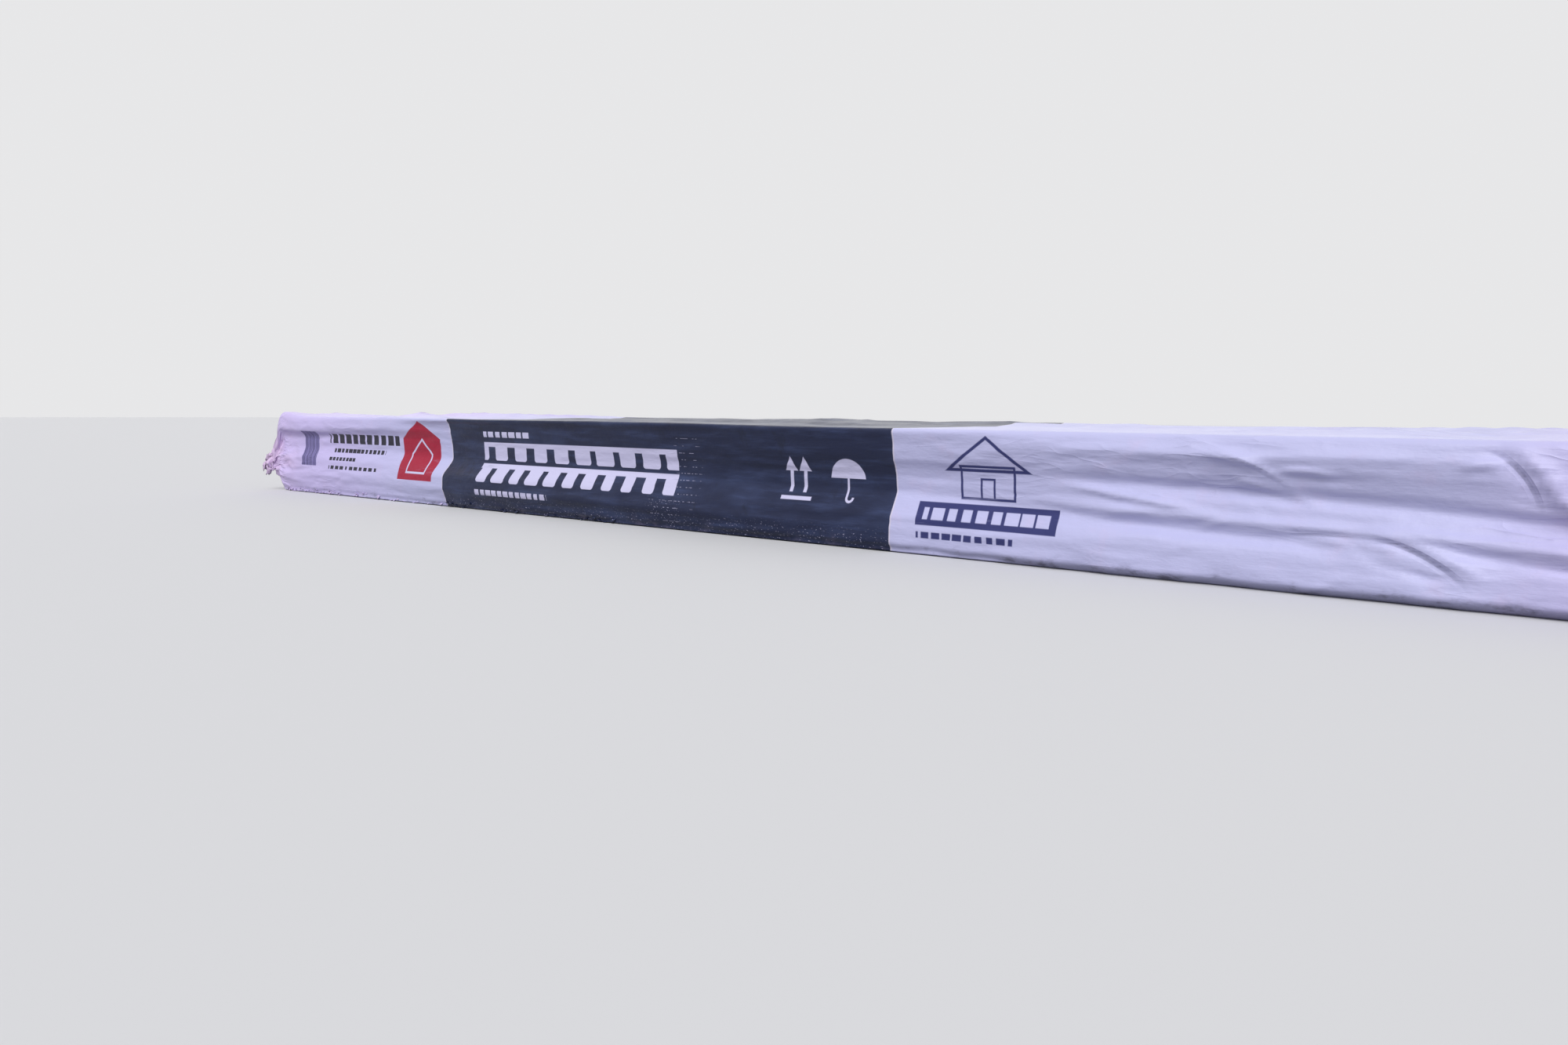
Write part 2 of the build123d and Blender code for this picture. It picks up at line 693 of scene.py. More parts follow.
@dataclass(frozen=True)
class PrintedFilm:
    """Pale polyethylene film, satin, with a dark panel round its middle and generic print."""

    layout: PrintLayout = PrintLayout()
    film: Colour = srgb(190, 190, 228)
    end_film: Colour = srgb(198, 186, 232)
    gathered: Colour = srgb(216, 186, 217)
    panel: Colour = srgb(25, 32, 61)
    # Paler streaks and clouds on the panel: rub wear and painted sheen
    panel_worn_and_sheen: Colour = srgb(60, 72, 110)
    panel_smudge: Colour = srgb(17, 21, 38)
    edge_line: Colour = srgb(214, 206, 222)
    white_ink: Colour = srgb(203, 200, 232)
    red_ink: Colour = srgb(160, 12, 50)
    grey_ink: Colour = srgb(112, 104, 164)
    bar_ink: Colour = srgb(62, 56, 100)
    blue_ink: Colour = srgb(48, 52, 106)
    black_ink: Colour = srgb(26, 24, 42)
    # Dirt along the lower edge, with painted shade of the gap there
    dirt_and_shade: Colour = srgb(88, 84, 110)
    # The print starts again after this much of the girth
    repeat: float = 415.3 * MM
    # Spans of length or height say where something sets in, and spans of noise which part of it shows
    left_end: Span = (0.26, 0.04)
    right_end: Span = (0.92, 1.03)
    gather_strength: float = 0.75
    mottled: Span = (0.02, 0.35)
    mottling: float = 0.22
    # Where the panel is paler: rub wear and painted sheen
    rubbed_and_sheen: Span = (0.46, 0.78)
    clouded: Span = (0.42, 0.80)
    rubbed_and_sheen_share: float = 0.55
    clouded_share: float = 0.45
    smudged: Span = (0.56, 0.74)
    smudging: float = 0.55
    edge_width: float = 0.9 * MM
    edge_strength: float = 0.7
    drift_reach: float = 1.6 * MM
    full_ink: float = 0.99
    worn_ink: Span = (0.60, 0.8)
    ink_wear: float = 0.35
    block_softness: float = 0.35 * MM
    block_strength: float = 0.85
    bar_strength: float = 0.8
    house_softness: float = 0.3 * MM
    roughness: float = 0.40
    uneven_gloss: float = 0.22
    panel_gloss: float = 0.03
    specular: float = 0.30
    wrinkle_height: float = 1.05 * MM
    grain: Texture = Texture(60.0, 4.0, 0.6)
    streak: Texture = Texture(190.0, 5.0, 0.62, stretch=0.12)
    cloud: Texture = Texture(46.0, 3.0, 0.6, stretch=0.4)
    smudge: Texture = Texture(58.0, 4.0, 0.7, squeeze=0.7, slant=0.3)
    drift: Texture = Texture(9.0, 2.0, squeeze=2.0)
    specks: Texture = Texture(620.0, 2.0, squeeze=1.6)
    soil_and_shade: Texture = Texture(150.0, 4.0, 0.65, stretch=0.5)
    wrinkles: tuple[tuple[Texture, float], ...] = (
        (Texture(260.0, 4.0, 0.6, stretch=0.25), 0.30),
        (Texture(70.0, 3.0, 0.55, stretch=0.35), 0.60),
        (Texture(130.0, 3.0, 0.6), 0.25),
    )
    strands: Texture = Texture(95.0, 2.0, stretch=0.16, slant=0.02, shift=3.0)
    crossing: Texture = Texture(120.0, 1.0, stretch=0.34, slant=-0.06, shift=9.0)
    patches: Texture = Texture(17.0, 2.0, squeeze=1.6)
    swerve: Texture = Texture(26.0, 1.0)
    swerve_reach: float = 20 * MM
    pleats: Texture = Texture(92.0, 3.0, 0.55, stretch=0.34)
    strand_power: float = 10.0
    crossing_power: float = 14.0
    crossing_share: float = 0.6
    patched: Span = (0.45, 0.65)
    drawn_left: Span = (0.20, 0.02)
    drawn_right: Span = (0.66, 0.92)
    least_drawn: float = 0.25
    crease_height: float = 0.34
    left_pleats: Span = (0.034, 0.010)
    right_pleats: Span = (1.001, 1.025)
    pleat_power: float = 3.0
    pleat_height: float = 1.5
    # Where the dark line of dirt and painted shade lies along the lower edge
    soil_and_shade_height: float = 1.0 * MM
    soil_and_shade_band: Span = (9.5 * MM, 1.0 * MM)
    soil_and_shade_noise: Span = (0.50, 0.72)
    soil_and_shade_strength: float = 0.7
    scuff_cell: tuple[float, float] = (1.3 * MM, 4.4 * MM)
    scuff_seed: float = 7.0
    scuffed: Span = (0.62, 0.68)
    scuff_edge: Span = (0.055, 0.025)
    scuff_strength: float = 0.5
    speckled: Span = (0.64, 0.68)
    speck_strength: float = 0.55
    beside_print: Limits = (0.507, 0.527, 0.016, 0.060)
    below_print: Limits = (0.488, 0.514, 0.006, 0.020)
    scuff_fade: float = 4 * MM
    speck_heights: Span = (0.016, 0.004)

    def build(self) -> bpy.types.Material:
        """Makes the material.

        Returns:
            The material.
        """
        graph = Graph.of_material("printed_film")
        given = graph.raw("ShaderNodeUVMap", {"uv_map": "sheet"}, {}).outputs[0]
        split = graph.raw("ShaderNodeSeparateXYZ", {}, {0: given}).outputs
        along, girth = Value(graph, split[0]), Value(graph, split[1])
        sheet = Plate(graph, along, girth)
        one_repeat = Plate(graph, along, (girth / self.repeat).rest() * self.repeat)
        drift = (self.drift.on(one_repeat) - 0.5) * self.drift_reach
        plate = Plate(graph, along + drift, one_repeat.up)
        grain, streak = self.grain.on(sheet), self.streak.on(sheet)
        band = plate.strip(*self.layout.panel)
        panel = band.ink()

        beside = Stencil(band.distance - self.edge_width).ink() * self.edge_strength
        colour = graph.mix(beside, self.bare(sheet, grain), self.edge_line)
        # The dark panel, paler in streaks of rub wear and painted sheen
        colour = graph.mix(panel, colour, self.worn_and_sheen_panel(sheet, streak))
        wear = self.full_ink - streak.ease(*self.worn_ink) * self.ink_wear
        for ink, tint in self.inks(plate):
            colour = graph.mix(ink * wear, colour, tint)
        colour = graph.mix(self.scuffs(plate, panel), colour, self.white_ink)
        # Darkens the lower edge: dirt, and painted shade of the gap there
        colour = graph.mix(self.soiling_and_shade(one_repeat), colour, self.dirt_and_shade)
        return graph.surface(
            Base_Color=colour,
            Roughness=self.roughness + (grain - 0.5) * self.uneven_gloss - panel * self.panel_gloss,
            Normal=graph.bump(self.relief(sheet), self.wrinkle_height),
            Specular_IOR_Level=self.specular,
        )

    def bare(self, sheet: Plate, grain: Value) -> Value:
        """Colours the bare film: pinker where gathered, near its ends, and along the end pleats as painted
        shading.

        Args:
            sheet: the film, right round the girth.
            grain: its mottling.

        Returns:
            The colour.
        """
        graph = sheet.graph
        gather = graph.node("ShaderNodeAttribute", {"attribute_name": "gather"}, {}, "Fac")
        near_end = sheet.along.ease(*self.left_end).highest(sheet.along.ease(*self.right_end))
        flat = graph.mix(near_end, self.film, self.end_film)
        colour = graph.mix(gather * self.gather_strength, flat, self.gathered)
        return graph.mix((grain - 0.5).ease(*self.mottled) * self.mottling, colour, self.gathered)

    def worn_and_sheen_panel(self, sheet: Plate, streak: Value) -> Value:
        """Colours the dark panel: paler in streaks and clouds of wear and painted sheen, smudged in places.

        Args:
            sheet: the film, right round the girth.
            streak: where it is streaked.

        Returns:
            The colour.
        """
        clouded = self.cloud.on(sheet).ease(*self.clouded) * self.clouded_share
        rubbed_and_sheen = streak.ease(*self.rubbed_and_sheen) * self.rubbed_and_sheen_share + clouded
        smudged = self.smudge.on(sheet).ease(*self.smudged) * self.smudging
        worn_and_sheen = sheet.graph.mix(rubbed_and_sheen, self.panel, self.panel_worn_and_sheen)
        return sheet.graph.mix(smudged, worn_and_sheen, self.panel_smudge)

    def relief(self, sheet: Plate) -> Value:
        """Adds up the film's small unevenness.

        Args:
            sheet: the film, right round the girth.

        Returns:
            Its height, in wrinkle heights.
        """
        height = self.fine_creases(sheet)
        for texture, strength in self.wrinkles:
            height = height + texture.on(sheet) * strength
        for arc in CREASE_ARCS:
            height = height + arc.relief(sheet)
        return height

    def fine_creases(self, sheet: Plate) -> Value:
        """Adds hairline creases in long strands, and pleats close together at the film's ends.

        Args:
            sheet: the film, right round the girth.

        Returns:
            Their height, in wrinkle heights.
        """
        along = sheet.along
        crossing = self.crossing.on(sheet).crest() ** self.crossing_power * self.crossing_share
        sharp = self.strands.on(sheet).crest() ** self.strand_power + crossing
        patches = self.patches.on(sheet).ease(*self.patched)
        pulled = along.ease(*self.drawn_left).highest(along.ease(*self.drawn_right))
        drawn = pulled * (1 - self.least_drawn) + self.least_drawn
        ends = along.ease(*self.left_pleats).highest(along.ease(*self.right_pleats))
        swerved = Plate(sheet.graph, along, sheet.up + self.swerve.on(sheet) * self.swerve_reach)
        pleats = self.pleats.on(swerved).crest() ** self.pleat_power
        return sharp * drawn * patches * self.crease_height + pleats * ends * self.pleat_height

    def inks(self, plate: Plate) -> list[tuple[Value, Colour]]:
        """Prints the film, colour by colour.

        Args:
            plate: one repeat of the print.

        Returns:
            The mask and the colour of each ink, in the order of printing.
        """
        lay = self.layout
        return [
            (plate.block(*lay.bar_block).ink(self.block_softness) * self.block_strength, self.grey_ink),
            (plate.rows(lay.bars).ink() * self.bar_strength, self.bar_ink),
            (plate.rows(lay.stamp).ink(), self.black_ink),
            (lay.badge.shape(plate).ink(), self.red_ink),
            (lay.white(plate).ink(), self.white_ink),
            (lay.house.draw(plate).ink(self.house_softness), self.blue_ink),
        ]

    def scuffs(self, plate: Plate, panel: Value) -> Value:
        """Rubs the panel white: in rows of fine dashes, and in specks along its lower edge.

        Args:
            plate: one repeat of the print.
            panel: 1 on the panel and 0 off it.

        Returns:
            How white the panel is rubbed.
        """
        graph = plate.graph
        column, row = plate.along / self.scuff_cell[0], plate.up / self.scuff_cell[1]
        cell = graph.place(column.whole(), row.whole(), self.scuff_seed)
        dashed = graph.chance(cell).ease(*self.scuffed)
        thin = abs(row.rest() - 0.5).ease(*self.scuff_edge)
        beside = plate.block(*self.beside_print).ink(self.scuff_fade)
        below = plate.block(*self.below_print).ink(self.scuff_fade)
        low_down = plate.up.ease(*self.speck_heights).highest(below)
        specks = self.specks.on(plate).ease(*self.speckled) * low_down * self.speck_strength
        return (thin * dashed * beside.highest(below) * self.scuff_strength).highest(specks) * panel

    def soiling_and_shade(self, plate: Plate) -> Value:
        """A dark line along the lower edge, from 0 to 1: dirt rubbed on, and painted shade of the gap at the
        edge.
        """
        near_edge = abs(plate.up - self.soil_and_shade_height).ease(*self.soil_and_shade_band)
        return self.soil_and_shade.on(plate).ease(*self.soil_and_shade_noise) * near_edge * self.soil_and_shade_strength


@dataclass(frozen=True)
class Granules:
    """Crushed stone rolled into asphalt: grey granules of several shades over black."""

    asphalt: Colour = srgb(26, 26, 28)
    dark: Colour = srgb(52, 53, 58)
    light: Colour = srgb(122, 120, 122)
    granule: float = 1.6 * MM
    relief: float = 0.5 * MM
    patch_scale: float = 14.0
    patch_detail: float = 2.0
    own_shade: float = 0.75
    shades: Span = (0.1, 0.8)
    covered: Span = (0.62, 0.30)
    roughness: float = 0.92
    gloss: float = 0.1

    def build(self) -> bpy.types.Material:
        """Makes the material.

        Returns:
            The material.
        """
        graph = Graph.of_material("granules")
        place = graph.node("ShaderNodeTexCoord", {}, {}, "Object")
        cells = graph.raw("ShaderNodeTexVoronoi", {}, {"Vector": place, "Scale": 1 / self.granule})
        spread = Value(graph, cells.outputs["Distance"])
        shade = graph.node("ShaderNodeSeparateColor", {}, {0: cells.outputs["Color"]})
        blend = graph.noise(place, self.patch_scale, self.patch_detail) - 0.5
        stone = graph.mix((shade * self.own_shade + blend).ease(*self.shades), self.dark, self.light)
        return graph.surface(
            Base_Color=graph.mix(spread.ease(*self.covered), self.asphalt, stone),
            Roughness=self.roughness - shade * self.gloss,
            Normal=graph.bump(1.0 - spread, self.relief),
        )


@dataclass(frozen=True)
class Backdrop:
    """The plain floor: pale to the eye, and darker in what it gives back to the film."""

    colour: Colour = srgb(214, 214, 216)
    unseen: Colour = srgb(140, 140, 144)
    roughness: float = 0.9
    specular: float = 0.1

    def build(self) -> bpy.types.Material:
        """Makes the material.

        Returns:
            The material.
        """
        graph = Graph.of_material("floor")
        colour = graph.mix(graph.seen(), self.unseen, self.colour)
        return graph.surface(Base_Color=colour, Roughness=self.roughness, Specular_IOR_Level=self.specular)


# The film's form


def ease(value: Array | float, low: float, high: float) -> Array:
    """Goes smoothly from 0 at low to 1 at high; low may be the larger of the two."""
    share = np.clip((np.asarray(value, float) - low) / (high - low), 0.0, 1.0)
    return share * share * (3 - 2 * share)


def curve(t: Array, start: float, leaving: float, arriving: float, end: float) -> Array:
    """A cubic curve from start at t 0 to end at t 1, drawn towards the two numbers between them."""
    rest = 1 - t
    return start * rest ** 3 + 3 * rest ** 2 * t * leaving + 3 * rest * t ** 2 * arriving + end * t ** 3


def kept_above(value: Array, least: Array | float, softness: float) -> Array:
    """Bends values smoothly so that they stay above a limit.

    Args:
        value: the values.
        least: the limit.
        softness: about how far above the limit they begin to bend.

    Returns:
        The bent values.
    """
    spare = (value - least) / softness
    straight_from = 30
    bent = np.log1p(np.exp(np.minimum(spare, straight_from)))
    return least + softness * np.where(spare > straight_from, spare, bent)


class Ripple:
    """Smooth seeded noise over a plane, from -1 to 1."""

    def __init__(self, seed: int, lattice: int = 64) -> None:
        """Draws the lattice of random heights."""
        self.lattice = lattice
        self.heights = np.random.default_rng(seed).uniform(-1.0, 1.0, (lattice, lattice))

    def at(self, a: Array, b: Array) -> Array:
        """Reads the noise.

        Args:
            a: the first coordinate of each point, in wavelengths.
            b: the second.

        Returns:
            The noise there.
        """
        a, b = np.broadcast_arrays(np.asarray(a, float), np.asarray(b, float))
        low_a, low_b = np.floor(a).astype(int), np.floor(b).astype(int)
        share_a, share_b = (s ** 3 * (s * (s * 6 - 15) + 10) for s in (a - low_a, b - low_b))
        n = self.lattice
        corner = [[self.heights[(low_a + i) % n, (low_b + j) % n] for j in (0, 1)] for i in (0, 1)]
        near, far = (pair[0] * (1 - share_b) + pair[1] * share_b for pair in corner)
        return near * (1 - share_a) + far * share_a

    def layered(self, a: Array, b: Array, layers: int = 3) -> Array:
        """Several layers of the noise, each half as large and twice as fine."""
        total = sum(self.at(a * 2 ** k + 7.3 * k, b * 2 ** k + 3.1 * k) / 2 ** k for k in range(layers))
        return total / (2 - 2 ** (1 - layers))

    def ridges(self, a: Array, b: Array) -> Array:
        """Sharp crests from 0 to 1 where the noise changes sign."""
        return 1 - np.abs(self.layered(a, b, 2))


@dataclass(frozen=True)
class Grain:
    """How a layer of seeded noise lies on the film.

    Attributes:
        along: its wavelength along the film, in metres.
        across: its wavelength across it.
        layers: how many layers it has, each finer than the one before.
        start: where it starts, in wavelengths.
    """

    along: float
    across: float
    layers: int = 2
    start: float = 0.0

    def of(self, noise: Ripple, along: Array, across: Array) -> Array:
        """The noise at those places, from -1 to 1."""
        return noise.layered(along / self.along + self.start, across / self.across, self.layers)


class FilmNoise:
    """The seeded noises that the film's unevenness is read from."""

    def __init__(self, seed: int) -> None:
        """Draws them.

        Args:
            seed: the seed of the first.
        """
        self.front = [Ripple(seed + k) for k in (0, 1, 2)]
        self.back = [Ripple(seed + k) for k in (3, 4, 5)]
        self.top, self.pleats, self.crumples = (Ripple(seed + k) for k in (7, 8, 9))
        self.weld, self.frays = (Ripple(seed + k) for k in (10, 11))


class Crest(Enum):
    """How a fold is rounded: the power of its flanks' fall."""

    CRISP = 1.0
    FIRM = 1.5
    SOFT = 2.0


@dataclass(frozen=True)
class Fold:
    """A fold in the film, drawn as a line in millimetres on the unrolled front.

    Attributes:
        path: points along it, each a length from the left end and a height from the lower edge.
        width: half its width.
        height: how far it stands out; negative for a hollow.
        crest: how it is rounded.
        lean: above 0 the flank on the left of the path is the steeper one, and below 0 the other.
        fade: the shares of its length over which it rises and dies away.
        lean_share: how much of its width a flank loses with a lean of 1.
        overrun: how far past its ends it reaches where it doesn't fade, as a share of its length.
    """

    path: tuple[tuple[float, float], ...]
    width: float
    height: float
    crest: Crest = Crest.SOFT
    lean: float = 0.0
    fade: tuple[float, float] = (0.3, 0.3)
    lean_share: float = 0.6
    overrun: float = 0.001

    def line(self, steps: int = 5) -> Array:
        """Rounds the path at its points.

        Args:
            steps: how many steps are made between two points.

        Returns:
            The points of the rounded path.
        """
        given = np.array(self.path, float)
        points = np.vstack([2 * given[0] - given[1], given, 2 * given[-1] - given[-2]])
        rounded = [given[0]]
        for k in range(1, len(points) - 2):
            before, here, there, after = points[k - 1:k + 3]
            for t in np.linspace(0, 1, steps + 1)[1:]:
                straight = 2 * here + (there - before) * t
                curved = (2 * before - 5 * here + 4 * there - after) * t ** 2
                turned = (3 * here - before - 3 * there + after) * t ** 3
                rounded.append((straight + curved + turned) / 2)
        return np.array(rounded)

    def relief(self, along: Array, up: Array) -> Array:
        """Raises the fold.

        Args:
            along: lengths from the film's left end, in metres.
            up: heights, in metres.

        Returns:
            How far the fold stands out there, in metres.
        """
        line = self.line()
        a, b = along / MM, up / MM
        lengths = np.hypot(*np.diff(line, axis=0).T)
        passed = np.concatenate([[0.0], np.cumsum(lengths)])
        nearest = np.full(np.shape(a), np.inf)
        aside = np.zeros(np.shape(a))
        travelled = np.zeros(np.shape(a))
        for k, length in enumerate(lengths):
            direction = (line[k + 1] - line[k]) / length
            from_a, from_b = a - line[k][0], b - line[k][1]
            on_line = np.clip(from_a * direction[0] + from_b * direction[1], 0, length)
            distance = np.hypot(from_a - on_line * direction[0], from_b - on_line * direction[1])
            closer = distance < nearest
            side = np.sign(from_b * direction[0] - from_a * direction[1])
            aside = np.where(closer, side * distance, aside)
            travelled = np.where(closer, passed[k] + on_line, travelled)
            nearest = np.where(closer, distance, nearest)
        share = travelled / passed[-1]
        taper = ease(share, -self.overrun, self.fade[0]) * ease(share, 1 + self.overrun, 1 - self.fade[1])
        lean = self.lean_share * self.lean
        flank = np.where(aside > 0, 1 - lean, 1 + lean) * self.width
        return self.height * MM * taper * np.exp(-((np.abs(aside) / flank) ** self.crest.value))


@dataclass(frozen=True)
class Profile:
    """How far the film stands in or out at one place.

    Attributes:
        place: the place, in metres from the left end.
        stations: shares of the bundle's height, each with how far out the film stands, in millimetres.
    """

    place: float
    stations: tuple[tuple[float, float], ...]

    def at(self, share: Array) -> Array:
        """Reads the profile.

        Args:
            share: shares of the bundle's height.

        Returns:
            How far the film stands out there, in millimetres.
        """
        shares, depths = (np.array(numbers) for numbers in zip(*self.stations))
        number = np.clip(np.searchsorted(shares, share) - 1, 0, len(shares) - 2)
        part = ease(share, shares[number], shares[number + 1])
        return depths[number] * (1 - part) + depths[number + 1] * part


@dataclass(frozen=True)
class LongSide:
    """The film's form down one long side of the bundle: its profile from place to place, and its folds."""

    height: float
    profiles: tuple[Profile, ...]
    folds: tuple[Fold, ...]

    def relief(self, along: Array, up: Array) -> Array:
        """Shapes the side.

        Args:
            along: lengths from the side's left end.
            up: heights.

        Returns:
            How far the film stands out of the outermost plane, in metres; negative where it stands in.
        """
        share = np.clip(up / self.height, 0, 1)
        depth = self.profiles[0].at(share)
        for before, after in zip(self.profiles, self.profiles[1:]):
            reached = ease(along, before.place, after.place)
            depth = depth * (1 - reached) + after.at(share) * reached
        relief = depth * MM
        for fold in self.folds:
            relief = relief + fold.relief(along, up)
        return relief


@dataclass
class StackEdges:
    """How far the shingles reach out to the front and the back at each height: the film can't pass them."""

    boxes: tuple[tuple[Vector, Vector], ...]
    clearance: float = 0.5 * MM
    reach: float = 0.8 * MM
    slope: float = 0.55

    def limit(self, up: Array, side: int) -> Array:
        """The least distance from the middle plane that the film keeps at those heights.

        Args:
            up: heights.
            side: -1 for the front and 1 for the back.

        Returns:
            The distances: the film spans from each edge to the next ones at a slope.
        """
        least = np.zeros(np.shape(up))
        for low, high in self.boxes:
            edge = high.y if side > 0 else -low.y
            beyond = np.maximum(np.maximum(low.z - up, up - high.z) - self.reach, 0)
            least = np.maximum(least, edge + self.clearance - self.slope * beyond)
        return least


@dataclass
class CutoutSag:
    """Where the film sinks into the cut-outs between the uppermost shingle's teeth."""

    shingle: bpy.types.Object
    depth: float = 1.35 * MM
    cell: float = 4.0 * MM
    spread: int = 3
    blurs: int = 2
    step_down: float = 1.0 * MM
    # How far above the shingle the search starts
    above: float = 1.0
    # Keeps the last place just inside the last cell
    short_of_last: float = 1.001

    def __post_init__(self) -> None:
        """Feels for the cut-outs from above and blurs what it finds."""
        mesh = self.shingle.data
        polygons = [polygon.vertices[:] for polygon in mesh.polygons]
        tree = BVHTree.FromPolygons([vertex.co[:] for vertex in mesh.vertices], polygons)
        low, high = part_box(self.shingle.name)
        self.start = (low.x, low.y)
        across_count = int((high.y - low.y) / self.cell)
        along_count = int((high.x - low.x) / self.cell)
        open_cells = np.zeros((across_count + 1, along_count + 1))
        for row in range(across_count + 1):
            for column in range(along_count + 1):
                above = Vector((low.x + column * self.cell, low.y + row * self.cell, high.z + self.above))
                found = tree.ray_cast(above, Vector((0, 0, -1)))[0]
                open_cells[row, column] = found is not None and found.z < high.z - self.step_down
        for _ in range(self.blurs):
            open_cells = self._blurred(self._blurred(open_cells).T).T
        self.open_cells = open_cells

    def _blurred(self, cells: Array) -> Array:
        """Blurs the cells along the first axis.

        Args:
            cells: the cells.

        Returns:
            The mean of each cell and its neighbours.
        """
        padded = np.pad(cells, ((self.spread, self.spread), (0, 0)), mode="edge")
        count = 2 * self.spread + 1
        return sum(padded[k:k + len(cells)] for k in range(count)) / count

    def at(self, x: Array, y: Array) -> Array:
        """Reads how deep the film sinks.

        Args:
            x: places along the bundle.
            y: places across it.

        Returns:
            The depths.
        """
        cells = self.open_cells
        last_row, last_column = np.array(cells.shape) - self.short_of_last
        column = np.clip((x - self.start[0]) / self.cell, 0, last_column)
        row = np.clip((y - self.start[1]) / self.cell, 0, last_row)
        c, r = column.astype(int), row.astype(int)
        share_c, share_r = column - c, row - r
        near = cells[r, c] * (1 - share_c) + cells[r, c + 1] * share_c
        far = cells[r + 1, c] * (1 - share_c) + cells[r + 1, c + 1] * share_c
        return self.depth * np.clip(2 * (near * (1 - share_r) + far * share_r) - 1, 0, 1)


@dataclass(frozen=True)
class Shreds:
    """Small torn flaps of film along the front's lower edge, closer together towards its left end.

    Each size is drawn between the two numbers given for it.
    """

    count: int = 80
    start: float = 20.0 * MM
    reach: float = 430.0 * MM
    crowding: float = 1.5
    rows: tuple[int, int] = (9, 13)
    # The row whose points tell where the columns are
    measured_row: int = 20
    length: tuple[float, float] = (1.6 * MM, 4.2 * MM)
    stand_off: tuple[float, float] = (0.5 * MM, 1.8 * MM)
    # How far a flap turns up and to the sides, as shares of its length
    rise: tuple[float, float] = (-1.0, 0.6)
    drift: float = 0.6
    # How much of that and of its stand-off it has at its bend: along, out and up
    bend: tuple[float, float, float] = (0.4, 0.8, 0.5)
    # Where its root starts and ends, as shares of the way from one column to the next
    root: tuple[Span, Span] = ((0.02, 0.2), (0.8, 0.98))
    # How much of its stand-off it has at its tip
    tip: Span = (0.6, 1.2)
    narrowing: Span = (0.08, 0.22)
    tuck: float = 0.1 * MM
    floor_gap: float = 0.35 * MM
    seed: int = 31

    def flaps(self, points: Array, length: float) -> list[tuple[tuple[int, int], Array]]:
        """Tears the flaps loose.

        Args:
            points: the film's points, as rows by columns by three.
            length: the bundle's length.

        Returns:
            For each flap, the row and column of the film where it hangs, and its corners.
        """
        draw = np.random.default_rng(self.seed)
        along = points[self.measured_row, :, 0] + length / 2
        made = []
        for _ in range(self.count):
            place = self.start + self.reach * draw.uniform() ** self.crowding
            row = int(draw.integers(*self.rows))
            column = int(np.searchsorted(along, place))
            made.append(((row, column), self._corners(draw, points[row, column], points[row, column + 1])))
        return made

    def _corners(self, draw: np.random.Generator, near: Array, far: Array) -> Array:
        """Shapes one flap.

        Args:
            draw: what its sizes are drawn from.
            near: the film's point to the left of its root.
            far: the one to the right.

        Returns:
            Its five corners: two at its root, two at its bend and one at its tip.
        """
        reach = draw.uniform(*self.length)
        out = draw.uniform(*self.stand_off)
        rise = draw.uniform(*self.rise) * reach
        drift = draw.uniform(-self.drift, self.drift) * reach
        shares = [draw.uniform(*end) for end in self.root]
        left, right = (near * (1 - share) + far * share for share in shares)
        tip = (left + right) / 2 + np.array([drift, -out * draw.uniform(*self.tip), rise])
        narrow = (right - left) * draw.uniform(*self.narrowing)
        bend = np.array([drift, -out, rise]) * self.bend
        inward = np.array([0.0, self.tuck, 0.0])
        root, bent = [left + inward, right + inward], [right - narrow + bend, left + narrow + bend]
        corners = np.array([*root, *bent, tip])
        corners[:, 2] = np.maximum(corners[:, 2], self.floor_gap)
        return corners


class Walk:
    """A walk round a rounded section, point by point."""

    def __init__(self) -> None:
        """Starts without a point."""
        self.points: list[tuple[float, float]] = []

    def run(self, start: tuple[float, float], end: tuple[float, float], count: int) -> None:
        """Goes straight on.

        Args:
            start: the first point.
            end: where it leads, which isn't added.
            count: in how many steps.
        """
        for k in range(count):
            across, up = (a + (b - a) * (k / count) for a, b in zip(start, end))
            self.points.append((across, up))

    def turn(self, centre: tuple[float, float], radius: float, first: float, count: int) -> None:
        """Goes a quarter turn round a corner.

        Args:
            centre: the corner's centre.
            radius: its radius.
            first: the angle at which the turn starts, in degrees.
            count: in how many steps.
        """
        for k in range(count):
            angle = math.radians(first - 90.0 * k / count)
            self.points.append((centre[0] + radius * math.cos(angle), centre[1] + radius * math.sin(angle)))


@dataclass(frozen=True)
class GirthRows:
    """The rows of the film's mesh, each of which runs along the bundle, in their order round it.

    For each row: its place across and its height, its way round the girth from the front's lower edge, how
    far the lap lifts it, and how much of the form of the front, the top and the back it takes.
    """

    across: Array
    up: Array
    girth: Array
    lifted: Array
    front: Array
    top: Array
    back: Array


